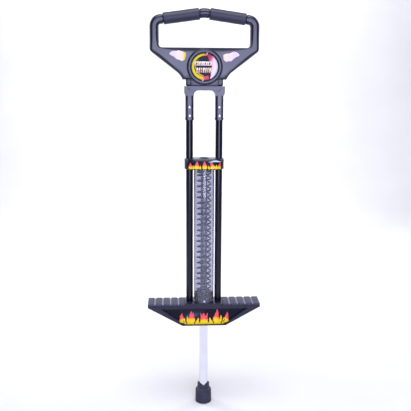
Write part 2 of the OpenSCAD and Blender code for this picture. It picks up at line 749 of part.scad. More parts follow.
module foot_pin() { color("silver") pin_y(0, z_pin, pin_d, -foot_waist_d / 2 + 1, foot_waist_d / 2 - 1); }

handle_front_shell();
handle_back_shell();
grip_left();
grip_right();
grip_collar();
bezel_ring();
dial_face();
wing_decal_left();
wing_decal_right();
shell_screws();
handle_yoke();
yoke_screws();
socket_screws();
frame_tube_left();
frame_tube_right();
mid_bridge();
bridge_decal();
bridge_screws();
guide_rod();
rod_bolt();
rod_bush();
upper_spring_seat();
spring();
clear_guard();
guard_collar();
guard_rivet();
footrest_body();
tread_left();
tread_right();
footrest_decal();
footrest_screws();
plunger_bush();
plunger_tube();
lower_spring_seat();
rebound_bumper();
rubber_foot();
foot_washer();
plunger_plug();
foot_pin();
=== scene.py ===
import bmesh
import bpy
import numpy as np
from mathutils import Matrix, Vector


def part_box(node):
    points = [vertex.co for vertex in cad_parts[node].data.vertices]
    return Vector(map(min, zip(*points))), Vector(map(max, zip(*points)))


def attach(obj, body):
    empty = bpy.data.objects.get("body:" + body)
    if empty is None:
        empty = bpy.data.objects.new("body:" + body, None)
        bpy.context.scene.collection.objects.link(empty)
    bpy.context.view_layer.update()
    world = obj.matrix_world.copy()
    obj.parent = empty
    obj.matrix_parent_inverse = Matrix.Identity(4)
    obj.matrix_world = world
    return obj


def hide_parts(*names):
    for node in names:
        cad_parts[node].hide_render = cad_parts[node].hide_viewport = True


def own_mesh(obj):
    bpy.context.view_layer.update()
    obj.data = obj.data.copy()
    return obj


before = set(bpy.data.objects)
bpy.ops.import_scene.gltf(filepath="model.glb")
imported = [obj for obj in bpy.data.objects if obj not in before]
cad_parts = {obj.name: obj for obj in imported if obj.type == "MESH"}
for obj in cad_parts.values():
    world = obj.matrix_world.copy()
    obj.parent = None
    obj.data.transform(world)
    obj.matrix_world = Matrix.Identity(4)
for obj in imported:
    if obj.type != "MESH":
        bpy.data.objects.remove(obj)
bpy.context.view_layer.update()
print("frame loaded")

mm = 0.001
sides = (("Right", 1), ("Left", -1))
scene = bpy.context.scene
scene.view_settings.view_transform = "Standard"


def nodeBox(name):  # lowest and highest corner of a CAD node, in millimetres
    low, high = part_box(name)
    return np.array(low) / mm, np.array(high) / mm


def hexColour(text):  # sRGB hex to linear RGBA
    value = np.array([int(text[i:i + 2], 16) for i in (1, 3, 5)]) / 255
    linear = np.where(value <= 0.04045, value / 12.92, ((value + 0.055) / 1.055) ** 2.4)
    return [*map(float, linear), 1.0]


def gridPatch(points, wrapU=False, wrapV=False, caps=False):
    # quads between neighbouring rows and columns; caps put a pole at the mean of the first and last rows
    rows, columns = points.shape[:2]
    ids = np.arange(rows * columns).reshape(rows, columns)
    if wrapU:
        ids = np.vstack([ids, ids[:1]])
    if wrapV:
        ids = np.hstack([ids, ids[:, :1]])
    quads = np.stack([ids[:-1, :-1], ids[1:, :-1], ids[1:, 1:], ids[:-1, 1:]], -1).reshape(-1, 4)
    corners = points.reshape(-1, 3)
    faces = quads.tolist()
    if caps:
        pole = len(corners)
        corners = np.vstack([corners, points[[0, -1]].mean(1)])
        start = np.stack([ids[0, :-1], ids[0, 1:], np.full(ids.shape[1] - 1, pole)], -1)
        end = np.stack([ids[-1, 1:], ids[-1, :-1], np.full(ids.shape[1] - 1, pole + 1)], -1)
        faces += start.tolist() + end.tolist()
    return corners, faces


def closedPatch(points):
    return gridPatch(points, wrapU=True, wrapV=True)


def cappedPatch(points):
    return gridPatch(points, wrapV=True, caps=True)


def placed(name, data):
    thing = bpy.data.objects.new(name, data)
    scene.collection.objects.link(thing)
    return thing


def buildPiece(name, patches, material, body, nodes=(), sharp=38, tone=None, thick=0):
    # joins the patches into one mesh; tone is one number per vertex; thick makes a sheet a thin solid
    sizes = [len(corners) for corners, _ in patches]
    starts = np.cumsum([0, *sizes[:-1]])
    faces = [[i + s for i in face] for (_, part), s in zip(patches, starts) for face in part]
    mesh = bpy.data.meshes.new(name)
    mesh.from_pydata(np.vstack([corners for corners, _ in patches]) * mm, [], faces)
    if tone is not None:
        mesh.attributes.new("tone", "FLOAT", "POINT").data.foreach_set("value", np.ravel(tone))
    work = bmesh.new()
    work.from_mesh(mesh)
    bmesh.ops.remove_doubles(work, verts=work.verts, dist=1e-7)
    bmesh.ops.dissolve_degenerate(work, edges=work.edges, dist=1e-8)
    bmesh.ops.recalc_face_normals(work, faces=work.faces)
    work.to_mesh(mesh)
    work.free()
    return finishPiece(name, mesh, material, body, nodes, sharp, thick)


def finishPiece(name, mesh, material, body, nodes, sharp, thick=0):
    mesh.polygons.foreach_set("use_smooth", np.ones(len(mesh.polygons), bool))
    mesh.set_sharp_from_angle(angle=np.radians(sharp))
    piece = placed(name, mesh)
    mesh.materials.clear()
    mesh.materials.append(material)
    if thick:
        shell = piece.modifiers.new("filmThickness", "SOLIDIFY")
        shell.thickness = thick * mm
        shell.offset = 0
    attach(piece, body)
    if nodes:
        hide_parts(*nodes)
    return piece


def printPiece(name, patches, ink, tone=None, nodes=(), thick=0.06):
    # a printed film on the frame, given as a sheet; thick is its thickness in millimetres
    return buildPiece(name, patches, ink, "frame", nodes, tone=tone, thick=thick)


def mouldedPiece(name, patches, nodes=(), sharp=38):
    return buildPiece(name, patches, mouldedPolypropylene, "frame", nodes, sharp=sharp)


def softCopy(name, node, width, material, body):
    # a merged copy of a CAD node with its flat faces joined and its hard edges rounded
    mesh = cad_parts[node].data.copy()
    mesh.name = name
    work = bmesh.new()
    work.from_mesh(mesh)
    bmesh.ops.remove_doubles(work, verts=work.verts, dist=2e-6)
    bmesh.ops.dissolve_limit(work, angle_limit=0.01, verts=work.verts, edges=work.edges)
    work.to_mesh(mesh)
    work.free()
    piece = finishPiece(name, mesh, material, body, [node], 38)
    bevel = piece.modifiers.new("softEdges", "BEVEL")
    bevel.width = width * mm
    bevel.segments = 3
    bevel.limit_method = "ANGLE"
    bevel.angle_limit = np.radians(35)
    bevel.use_clamp_overlap = True
    bevel.miter_outer = "MITER_ARC"
    bevel.harden_normals = True
    return piece


def rounded(profile, radius, steps=4):
    # each corner of a closed profile becomes a short curve that starts and ends one radius from the corner
    profile = np.array(profile, float)
    before, after = np.roll(profile, 1, 0) - profile, np.roll(profile, -1, 0) - profile
    lengthBefore = np.linalg.norm(before, axis=1, keepdims=True)
    lengthAfter = np.linalg.norm(after, axis=1, keepdims=True)
    reach = np.minimum(radius, 0.45 * np.minimum(lengthBefore, lengthAfter))
    a = (profile + before / lengthBefore * reach)[:, None]
    b = (profile + after / lengthAfter * reach)[:, None]
    t = np.linspace(0, 1, steps)[None, :, None]
    return ((1 - t) ** 2 * a + 2 * t * (1 - t) * profile[:, None] + t ** 2 * b).reshape(-1, 2)


def spin(profile, centre=(0, 0, 0), axis="z", steps=96):
    # radius and height carried round an axis: x = r cos a, y = r sin a, z = h, or the same round -Y
    profile = np.array(profile, float)
    turn = around(steps)
    a = profile[:, :1] * np.cos(turn)
    b = profile[:, :1] * np.sin(turn)
    h = np.repeat(profile[:, 1:], steps, 1)
    order = (a, b, h) if axis == "z" else (a, -h, b) if axis == "-y" else (a, h, b)
    return np.stack(order, -1) + np.array(centre, float)


def turned(profile, radius, centre=(0, 0, 0), axis="z", steps=96):
    # a closed profile with softened corners, spun into a ring
    return closedPatch(spin(rounded(profile, radius), centre, axis, steps))


def tubeProfile(outer, inner, low, high):
    return [[inner, low], [outer, low], [outer, high], [inner, high]]


def around(steps):  # angles once round
    return np.linspace(0, 2 * np.pi, steps, endpoint=False)


def roundedBlock(low, high, radius, steps=5):
    # a box grown from its inner box: point = corner of the inner box + radius x a direction on the sphere
    low, high = np.array(low, float), np.array(high, float)
    half = (high - low) / 2 - radius
    quarter = np.linspace(0, np.pi / 2, steps)
    turn = np.concatenate([quarter + k * np.pi / 2 for k in range(4)])
    signX = np.repeat([1, -1, -1, 1], steps)
    signY = np.repeat([1, 1, -1, -1], steps)
    up = np.concatenate([quarter - np.pi / 2, quarter])
    signZ = np.repeat([-1, 1], steps)[:, None]
    x = np.cos(up)[:, None] * np.cos(turn) * radius + signX * half[0]
    y = np.cos(up)[:, None] * np.sin(turn) * radius + signY * half[1]
    z = np.sin(up)[:, None] * radius + signZ * half[2] + 0 * x
    return cappedPatch(np.stack([x, y, z], -1) + (low + high) / 2)


def carry(path, side, ring):
    # a ring of (side, up) offsets carried along a path; up is the tangent crossed with side
    tangent = np.gradient(path, axis=0)
    up = np.cross(tangent, side)
    up /= np.linalg.norm(up, axis=1, keepdims=True)
    return path[:, None] + ring[..., :1] * side[:, None] + ring[..., 1:] * up[:, None]


# Materials

def addNode(tree, kind, inputs=None, **settings):
    node = tree.nodes.new("ShaderNode" + kind)
    for key, value in settings.items():
        setattr(node, key, value)
    for socket, value in (inputs or {}).items():
        if isinstance(value, bpy.types.NodeSocket):
            tree.links.new(value, node.inputs[socket])
        else:
            node.inputs[socket].default_value = value
    return node


def fillRamp(node, stops):  # stops is a dictionary of place: colour
    ramp = node.color_ramp
    while len(ramp.elements) < len(stops):
        ramp.elements.new(0.5)
    for element, (place, colour) in zip(ramp.elements, stops.items()):
        element.position = place
        element.color = hexColour(colour)


def startMaterial(name, colour, roughness, **sockets):
    material = bpy.data.materials.new(name)
    material.use_nodes = True
    tree = material.node_tree
    shader = tree.nodes["Principled BSDF"]
    shader.inputs["Base Color"].default_value = hexColour(colour)
    shader.inputs["Roughness"].default_value = roughness
    for socket, value in sockets.items():
        shader.inputs[socket.replace("_", " ")].default_value = value
    place = addNode(tree, "TexCoord").outputs["Object"]
    return material, tree, shader, place


def grainedMaterial(name, dark, light, roughness, spread, grain, depth, patch, **sockets):
    # grain and patch are sizes in millimetres: grain makes the bump, patch the slow change of tone and gloss
    material, tree, shader, place = startMaterial(name, dark, roughness, **sockets)
    fine = addNode(tree, "TexNoise", {"Vector": place, "Scale": 1 / (grain * mm), "Detail": 3.0})
    slow = addNode(tree, "TexNoise", {"Vector": place, "Scale": 1 / (patch * mm), "Detail": 2.0})
    tone = addNode(tree, "ValToRGB", {"Fac": slow.outputs["Fac"]})
    fillRamp(tone, {0.3: dark, 0.75: light})
    gloss = addNode(tree, "MapRange", {"Value": slow.outputs["Fac"], "To Min": roughness - spread,
                                                 "To Max": roughness + spread})
    bump = addNode(tree, "Bump", {"Height": fine.outputs["Fac"], "Strength": 1.0,
                                            "Distance": depth * mm})
    tree.links.new(tone.outputs["Color"], shader.inputs["Base Color"])
    tree.links.new(gloss.outputs["Result"], shader.inputs["Roughness"])
    tree.links.new(bump.outputs["Normal"], shader.inputs["Normal"])
    return material


# Polypropylene, injection moulded on a fine spark-eroded tool: navy black with a soft grey sheen; the grain
# of about 0.3 mm is drawn at 0.9 mm so that it shows
mouldedPolypropylene = grainedMaterial("mouldedPolypropylene", "#0c0d26", "#131530", 0.3, 0.05, 0.9, 0.02,
                                       60, IOR=1.49)
# Softer tread compound, moulded with a coarse grain: greyer and duller, so that a shoe grips
treadPolymer = grainedMaterial("treadPolymer", "#26283f", "#343650", 0.5, 0.06, 1.2, 0.06, 45, IOR=1.5)
# The same compound off a polished part of the mould, between the ribs: glossier, and paler as painted light
# for the light lines seen in the grooves
treadFloorPaintedLight = grainedMaterial("treadFloorPaintedLight", "#5f618a", "#6e7098", 0.3, 0.05, 1.2, 0.01, 45, IOR=1.5)
# Closed-cell nitrile foam with its moulded skin: slate with a soft sheen, pores of about 0.8 mm
nitrileFoam = grainedMaterial("nitrileFoam", "#1c1e36", "#272944", 0.5, 0.05, 0.8, 0.08, 25, IOR=1.5)
# Natural rubber, compression moulded: dull dark navy with a faint bloom
mouldedRubber = grainedMaterial("mouldedRubber", "#1b1b35", "#262641", 0.6, 0.08, 1.0, 0.05, 20, IOR=1.52)
# Steel tube with gloss black powder coat: deep colour under a clear skin, with orange peel about 2 mm across
powderCoat = grainedMaterial("powderCoat", "#010212", "#03041a", 0.28, 0.03, 2.2, 0.012, 80, IOR=1.44)
# Zinc plated steel, barrel plated: bright, slightly blue, faintly mottled
zincPlate = grainedMaterial("zincPlate", "#c4c7d2", "#d9dbe4", 0.26, 0.06, 0.5, 0.004, 4, Metallic=1.0)
# Drawn steel rod with a film of oil: mid grey, soft gloss
drawnSteel = grainedMaterial("drawnSteel", "#8f90a4", "#a4a5b8", 0.3, 0.06, 0.6, 0.004, 12, Metallic=1.0)
# Blackened steel pressing: dark, satin
blackenedSteel = grainedMaterial("blackenedSteel", "#2c2d40", "#3a3b50", 0.4, 0.06, 0.6, 0.006, 10,
                                 Metallic=0.8)
# Phosphated spring wire: dark violet grey, satin, with die lines too fine to show
phosphatedWire = grainedMaterial("phosphatedWire", "#0b0a20", "#15142c", 0.3, 0.06, 0.7, 0.01, 8,
                                 Metallic=0.4)
# Turned nylon: warm white, waxy
turnedNylon = grainedMaterial("turnedNylon", "#dcd8c8", "#e8e5d8", 0.45, 0.05, 0.6, 0.006, 15, IOR=1.53)
# Chrome plate on steel tube: near white, mirror bright, with a trace of the polishing under it
chromePlate = grainedMaterial("chromePlate", "#e2e3ee", "#eeeef6", 0.12, 0.03, 1.5, 0.002, 40, Metallic=1.0)
# Vinyl film under a satin laminate: near-black ink whose thin low-index skin throws back little light
inkedVinyl = grainedMaterial("inkedVinyl", "#07071a", "#0c0c22", 0.4, 0.05, 1.5, 0.006, 30, IOR=1.25)


def inkMaterial(name, stops, roughness=0.45):
    # printed ink under a satin laminate; the attribute tone, 0 to 1, picks the colour
    material, tree, shader, place = startMaterial(name, stops[0], roughness, IOR=1.3)
    tone = addNode(tree, "Attribute", attribute_name="tone")
    speckle = addNode(tree, "TexNoise", {"Vector": place, "Scale": 1 / (1.6 * mm), "Detail": 1.0})
    shift = addNode(tree, "Math", {0: speckle.outputs["Fac"], 1: 0.06, 2: -0.03},
                    operation="MULTIPLY_ADD")
    total = addNode(tree, "Math", {0: tone.outputs["Fac"], 1: shift.outputs["Value"]}, operation="ADD")
    ramp = addNode(tree, "ValToRGB", {"Fac": total.outputs["Value"]})
    fillRamp(ramp, stops)
    tree.links.new(ramp.outputs["Color"], shader.inputs["Base Color"])
    return material


flameInk = inkMaterial("flameInk", {0: "#f2d418", 0.34: "#f6cc24", 0.42: "#f8a044", 0.5: "#fb6450",
                                    0.78: "#ee505c", 1: "#cf6c88"})
haloInk = inkMaterial("haloInk", {0: "#4a3a14", 0.4: "#5c1228", 1: "#340c22"})
arcInk = inkMaterial("arcInk", {0: "#dcc818", 0.45: "#dcb81c", 0.6: "#f08a38", 0.8: "#e8504a",
                                1: "#cc4464"})
# Red print of the right dial arc, turning pale pink and blue-white: the pale tones are a painted glare of
# light on the gloss
redArcPrintAndPaintedGlare = inkMaterial("redArcPrintAndPaintedGlare", {0: "#a83a58", 0.2: "#c65a76", 0.45: "#f4b8c8", 0.7: "#ead8e8",
                                  1: "#cdd8e6"})
paleInk = inkMaterial("paleInk", {0: "#d8cce2", 0.4: "#ead4e0", 0.6: "#f4dcc0", 0.85: "#ead070",
                                  1: "#d2c03c"})
barInk = inkMaterial("barInk", {0: "#1c1430", 0.3: "#8a3048", 0.55: "#e0b84c", 0.8: "#f0d4dc",
                                1: "#f8ecee"})
# Pale cyan and pink: a painted reflection of a lamp in the bridge's gloss, not a print
paintedReflectionStreak = inkMaterial("paintedReflectionStreak", {0: "#6fa8b8", 0.4: "#a8dce4", 0.7: "#c4e4ea", 0.85: "#f0c4e4",
                                      1: "#f4cce8"})
# Navy to blue-grey: a painted reflection on the footrest's glossy black film
paintedSheenReflection = inkMaterial("paintedSheenReflection", {0: "#07071a", 0.5: "#20283e", 1: "#44546c"})

# Clear PVC tube, extruded: glassy with a faint lilac body colour and draw lines along it
clearVinyl, tree, shader, place = startMaterial("clearVinyl", "#d6d7e6", 0.05, IOR=1.4,
                                                Transmission_Weight=0.9)
drawn = addNode(tree, "Mapping", {"Vector": place, "Scale": (1.0, 1.0, 0.02)})
lines = addNode(tree, "TexNoise", {"Vector": drawn.outputs["Vector"], "Scale": 1 / (3 * mm)})
bump = addNode(tree, "Bump", {"Height": lines.outputs["Fac"], "Strength": 0.3, "Distance": 0.05 * mm})
tree.links.new(bump.outputs["Normal"], shader.inputs["Normal"])
print("materials made")

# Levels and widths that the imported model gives, in millimetres
yokeLow, yokeHigh = nodeBox("handle_yoke")
bezelLow, bezelHigh = nodeBox("bezel_ring")
neckFoot = yokeHigh[2]
dialHeight = (bezelLow[2] + bezelHigh[2]) / 2
panelTop = bezelHigh[2] + 2.5
handWidth = nodeBox("handle_front_shell")[1][0]

# Handle: a closed ring of two moulded halves, panel, arms and grip bar in one
handle = {
    "arm": 25.0, "bar": 20.0, "bend": 17.5, "armHeight": 54.0, "slope": 8.0, "gripEnd": 110.6,
    "openingRound": 8.0, "lowCorner": 15.0, "edgeSlope": 37.5, "sweep": 47.0, "sweepEnd": 68.0,
    "footHalf": 58.5, "neckHeight": 17.0, "thick": 25.0, "neckThick": 16.0, "neckHalf": 49.5,
    "plateHalf": 37.5, "neckRound": 3.6, "plateRound": 2.0, "footRound": 3.0, "panelRound": 9.0,
    "tipRound": 7.0, "armRound": 9.0, "barRound": 10.0, "topRound": 3.0, "filletRound": 4.5,
    "power": 2.1, "lip": 8.5, "parting": 0.15,
}
slope = np.radians(handle["slope"])
armX = handWidth - handle["arm"] / 2
cornerZ = panelTop + handle["armHeight"]
bendX = armX - handle["bend"]
barEndX = armX - handle["bend"] * (1 - np.cos(np.pi / 2 - slope))
barZ = cornerZ + handle["bend"] * np.sin(np.pi / 2 - slope) + barEndX * np.tan(slope)


def arcPoints(x, z, radius, start, end, count):  # points on a circle, angles in degrees
    a = np.radians(np.linspace(start, end, count))
    return np.stack([x + radius * np.cos(a), z + radius * np.sin(a)], -1)


def linePoints(start, end, count):
    t = np.linspace(0, 1, count)[:, None]
    return np.array(start, float) * (1 - t) + np.array(end, float) * t


def barPoint(s, offset):  # a point s along the right half of the bar, offset outwards
    return [s * np.cos(slope) + offset * np.sin(slope), barZ - s * np.sin(slope) + offset * np.cos(slope)]


def handleOutlines():
    # outer and inner outline of the right half, in pairs of points, from the bottom middle to the top middle
    h = handle
    foot = neckFoot + h["neckHeight"]
    sweepX = h["footHalf"] + h["sweep"] * np.sin(np.radians(h["sweepEnd"]))
    sweepZ = foot - h["sweep"] * np.cos(np.radians(h["sweepEnd"]))
    es = np.radians(h["edgeSlope"])
    lowZ = panelTop - h["lip"] + h["lowCorner"] * (1 - np.sin(es)) / np.cos(es)
    arc = arcPoints(sweepX, sweepZ, h["sweep"], 90 + h["sweepEnd"], 90 + h["edgeSlope"], 12)
    corner = arcPoints(handWidth - h["lowCorner"], lowZ, h["lowCorner"], h["edgeSlope"] - 90, 0, 10)
    soft = h["openingRound"]
    fillet = arcPoints(handWidth - h["arm"] - soft, panelTop + soft, soft, -90, 0, 10)
    half, barHalf = h["arm"] / 2, h["bar"] / 2
    outerBend = arcPoints(bendX, cornerZ, h["bend"] + half, 0, 90 - h["slope"], 14)
    innerBend = arcPoints(bendX, cornerZ, h["bend"] - half, 0, 90 - h["slope"], 14)
    g, tip = h["gripEnd"], barHalf / np.cos(slope)
    outer = [linePoints([0, foot], [h["footHalf"], foot], 8), arc[1:], linePoints(arc[-1], corner[0], 8)[1:],
             corner[1:], linePoints(corner[-1], outerBend[0], 8)[1:], outerBend[1:],
             [barPoint(g + 1.5, half), barPoint(g + 0.6, half - 0.8), barPoint(g, barHalf)],
             linePoints(barPoint(g - 1, barHalf), [0, barZ + tip], 14)]
    sill = np.interp(np.arange(26), [0, 7, 18, 25], np.array([0, 0.42, 0.72, 1]) * fillet[0][0])
    inner = [np.stack([sill, panelTop + 0 * sill], -1), fillet[1:],
             linePoints(fillet[-1], innerBend[0], 8)[1:], innerBend[1:],
             [barPoint(g + 1.5, -half), barPoint(g + 0.6, 0.8 - half), barPoint(g, -barHalf)],
             linePoints(barPoint(g - 1, -barHalf), [0, barZ - tip], 14)]
    parts = [len(part) for part in outer]
    outer, inner = np.vstack(outer), np.vstack(inner)
    # rounding of the outer and inner edge and half thickness, part by part
    outerRound = np.repeat([h["footRound"]] + [h["panelRound"]] * 2 + [h["tipRound"]] + [h["armRound"]] * 3
                           + [h["barRound"]], parts)
    innerRound = np.repeat([h["topRound"]] * 3 + [h["filletRound"]] + [h["armRound"]] * 3
                           + [h["barRound"]], parts)
    depth = np.repeat([h["thick"] / 2] * 6 + [h["thick"] / 2 - 1, barHalf], parts)
    return outer, inner, smoothRow(outerRound), smoothRow(innerRound), depth


def smoothRow(values):  # three-point mean, four times, so that one rounding runs into the next
    for _ in range(4):
        padded = np.concatenate([values[:1], values, values[-1:]])
        values = (padded[:-2] + padded[1:-1] + padded[2:]) / 3
    return values


def handleHalf(front):
    # across the ring: a superellipse edge, a flat, and an edge again; the way back lies on the parting plane
    outer, inner, outerRound, innerRound, depth = handleOutlines()
    width = np.linalg.norm(outer - inner, axis=1)
    outerRound, innerRound = np.minimum(outerRound, width / 2), np.minimum(innerRound, width / 2)
    t = np.linspace(0, np.pi / 2, 8)
    rise = np.sin(t) ** (2 / handle["power"])
    back = 1 - np.cos(t) ** (2 / handle["power"])
    middle = np.linspace(0, 1, 8)[1:-1]
    start = innerRound[:, None] * back
    end = width[:, None] - outerRound[:, None] * back[::-1]
    between = start[:, -1:] + (end[:, :1] - start[:, -1:]) * middle
    distance = np.hstack([start, between, end]) / width[:, None]
    lift = np.concatenate([rise, np.ones(len(middle)), rise[::-1]])
    flat = inner[:, None] + (outer - inner)[:, None] * distance[..., None]
    side = -1 if front else 1
    y = side * (handle["parting"] + (depth[:, None] - handle["parting"]) * lift)
    right = np.stack([flat[..., 0], y, flat[..., 1]], -1)
    left = right[1:-1][::-1] * [-1, 1, 1]
    return closedPatch(np.concatenate([right, left]))


def neckBlocks(front):
    # the thin neck and the thicker plate before it, which runs up into the panel
    side = -1 if front else 1
    steps = [(handle["neckHalf"], handle["neckThick"] / 2, handle["neckRound"]),
             (handle["plateHalf"], handle["thick"] / 2, handle["plateRound"])]
    top = neckFoot + handle["neckHeight"] + 6
    blocks = []
    for half, deep, edge in steps:
        y = sorted([side * handle["parting"], side * (deep - 0.02)])
        blocks.append(roundedBlock([-half, y[0], neckFoot + 0.2], [half, y[1], top], edge))
    return blocks


for front, word in ((True, "front"), (False, "back")):
    mouldedPiece(f"handle{word.capitalize()}", [handleHalf(front), *neckBlocks(front)],
                 [f"handle_{word}_shell"], sharp=50)
print("handle made")

# Grips: foam sleeves on the two slopes of the bar
grip = {"radius": 15.25, "bore": 10.1, "start": 13.8, "end": 109.8, "edge": 2.6, "sag": 0.175, "waves": 3}


def barRing(s, radius, steps=72):
    # circles of the given radii round the right half of the bar, at the places s along it
    a = around(steps)
    s, radius = np.array(s, float)[:, None], np.array(radius, float)[:, None]
    across, deep = radius * np.cos(a), radius * np.sin(a)
    x = s * np.cos(slope) + across * np.sin(slope)
    z = barZ - s * np.sin(slope) + across * np.cos(slope)
    return np.stack([x, deep + 0 * x, z], -1)


def gripSleeve():
    # outer skin with rolled ends and a slow waviness of the foam, then the bore
    t = np.linspace(0, np.pi / 2, 6)
    e, r, b = grip["edge"], grip["radius"], grip["bore"]
    s0, s1 = grip["start"], grip["end"]
    along = np.linspace(s0 + e, s1 - e, 30)
    wave = grip["sag"] * (0.5 - 0.5 * np.cos(2 * np.pi * grip["waves"] * (along - s0) / (s1 - s0)))
    s = np.concatenate([[s0], s0 + e * (1 - np.cos(t)), along[1:-1], s1 - e * (1 - np.cos(t[::-1])), [s1]])
    radius = np.concatenate([[b], r - e + e * np.sin(t), r - wave[1:-1], r - e + e * np.sin(t[::-1]), [b]])
    return barRing(s, radius)


sleeve = gripSleeve()
for word, mirror in sides:
    patch = closedPatch(sleeve * [mirror, 1, 1])
    piece = buildPiece(f"grip{word}", [patch], nitrileFoam, "frame", [f"grip_{word.lower()}"],
                       sharp=45)

collar = {"radius": 12.25, "half": 13.0, "edge": 1.2, "groove": 0.7, "ridge": 2.0}


def collarSleeve():
    # a short sleeve along the bent middle of the bar, with a groove near each end
    c = collar
    half = np.array([0, 2, 4, 6, 8, 9.6, 10.0, 10.4, 10.8, 11.2, 11.6, 12.2, 12.7, c["half"] - 0.02,
                     c["half"]])
    dip = np.array([0, 0, 0, 0, 0, 0, c["groove"], c["groove"], 0, 0, 0, 0.1, 0.5, c["edge"], 2.1])
    s = np.concatenate([-half[:0:-1], half])
    drop = np.concatenate([dip[:0:-1], dip])
    bend = np.hypot(s, c["ridge"]) - c["ridge"]  # the ridge is rounded over a few millimetres
    path = np.stack([s * np.cos(slope), 0 * s, barZ - bend * np.sin(slope)], -1)
    a = around(64)
    ring = (c["radius"] - drop)[:, None, None] * np.stack([np.sin(a), np.cos(a)], -1)
    side = np.tile([0.0, 1.0, 0.0], (len(s), 1))
    return carry(path, side, ring)


mouldedPiece("gripCollar", [cappedPatch(collarSleeve())], ["grip_collar"], sharp=60)
print("grips made")

# Dial: bezel, face and its print, all facing the front
dial = {"face": 37.7, "dome": 0.8, "fall": 0.5, "arcLift": 0.05, "pointerLift": 0.13, "pointer": 5.4}
panelFront = -handle["thick"] / 2
dialCentre = (0, panelFront, dialHeight)
bezelProfile = [[37.8, -1.0], [37.8, 3.2], [38.8, 4.5], [42.6, 4.5], [43.0, 3.6], [43.8, 3.6], [44.2, 4.3],
                [45.0, 3.6], [45.4, 2.4], [47.0, 2.2], [47.5, 1.6], [47.5, -1.0]]
mouldedPiece("bezelRing", [turned(bezelProfile, 0.3, dialCentre, "-y", 128)], ["bezel_ring"], sharp=30)


def domeHeight(radius):  # the dial face is a very flat dome
    return dial["dome"] - dial["fall"] * (radius / dial["face"]) ** 2


faceRadii = np.concatenate([[0, 0], np.linspace(0, dial["face"], 14)[1:], [dial["face"]]])
faceLift = np.concatenate([[-0.2], domeHeight(faceRadii[1:-1]), [-0.2]])
facePatch = closedPatch(spin(np.stack([faceRadii, faceLift], -1), dialCentre, "-y"))
buildPiece("dialFace", [facePatch], inkedVinyl, "frame", ["dial_face"])


def dialSheet(radius, angle, lift):  # polar coordinates on the dome, angle in degrees from +X
    a = np.radians(angle)
    y = panelFront - domeHeight(radius) - lift
    return np.stack([radius * np.cos(a), y + 0 * a, dialHeight + radius * np.sin(a)], -1)


def arcPiece(name, start, end, innerShare, outerShare, ink, toneOf, count=64):
    # a ring sector: angle along u, radius along v; the radii are rows of shares of the face, and toneOf
    # turns the angle and the share across the band into a tone
    angle = np.linspace(start, end, count)[:, None] + np.zeros((1, 6))
    across = np.linspace(0, 1, 6) + 0 * angle
    place = np.linspace(0, 1, count)
    inner = np.interp(place, np.linspace(0, 1, len(innerShare)), innerShare)[:, None]
    outer = np.interp(place, np.linspace(0, 1, len(outerShare)), outerShare)[:, None]
    radius = dial["face"] * (inner + (outer - inner) * across)
    printPiece(name, [gridPatch(dialSheet(radius, angle, dial["arcLift"]))], ink, toneOf(angle, across))


arcPiece("dialArcLeft", 76, 292, [0.76, 0.75, 0.74, 0.73, 0.72, 0.68, 0.64],
         [0.90, 0.91, 0.91, 0.91, 0.91, 0.91, 0.90], arcInk,
         lambda angle, across: np.clip((np.abs(angle - 176) - 65.52) / 33.6, 0, 1), 90)  # redder at the ends
arcPiece("dialArcInner", 128, 262, [0.64, 0.62, 0.60, 0.58], [0.65, 0.66, 0.67, 0.66], arcInk,
         lambda angle, across: np.clip((angle - 215) / 60, 0.3, 1))  # redder towards the bottom
# Right arc: red print at its top end; its wide pale lower part is painted glare
arcPiece("dialArcRight", 74, -64, [0.74, 0.5, 0.44, 0.50, 0.50, 0.46, 0.48, 0.62, 0.86], [0.92], redArcPrintAndPaintedGlare,
         lambda angle, across: np.clip((62 - angle) / 40, 0, 1) * (0.4 + 0.6 * across))  # paler outwards


def blockRow(low, high, left, right, count, lean, fill, lift):
    # slanted blocks side by side, each its own four corners
    step = (right - left) / count
    offsets = np.array([[0, 0], [fill, 0], [fill, 1], [0, 1]])
    x = left + (np.arange(count)[:, None] + offsets[:, 0]) * step + lean * offsets[:, 1]
    z = low + offsets[:, 1] * (high - low) + 0 * x
    y = panelFront - domeHeight(np.hypot(x, z)) - lift
    return np.stack([x, y, dialHeight + z], -1).reshape(-1, 3), np.arange(count * 4).reshape(-1, 4).tolist()


blockRows = [  # low, high, left, right, count, lean, share filled, lift, tones in turn
    (3.2, 13.6, -27.5, 19.5, 1, 1.2, 1.0, 0.34, [0.95]),
    (5.4, 11.2, -23.5, 16.5, 7, 1.0, 0.5, 0.38, [0.2, 0.5]),
    (-15.0, -2.4, -22.5, 16.5, 7, 1.6, 0.72, 0.10, [0.9, 0.75, 0.6]),
    (-11.0, -8.2, -20.5, 14.5, 7, 0.6, 0.36, 0.15, [0.1, 0.45]),
]
blockTones = [np.repeat(np.resize(row[-1], row[4]), 4) for row in blockRows]
printPiece("dialBlocks", [blockRow(*row[:-1]) for row in blockRows], barInk, np.concatenate(blockTones))


def pointer(angle):  # a slim triangle that narrows towards the middle
    share = np.linspace(0, 1, 4)[:, None]
    radius = dial["face"] * (0.99 - 0.2 * share) + np.zeros((1, 3))
    halfAngle = np.degrees(dial["pointer"] / 2 / dial["face"]) * (1 - share * 0.97)
    return gridPatch(dialSheet(radius, angle + halfAngle * [-1, 0, 1], dial["pointerLift"]))


printPiece("dialPointers", [pointer(80), pointer(262)], paleInk, np.full(24, 0.15))

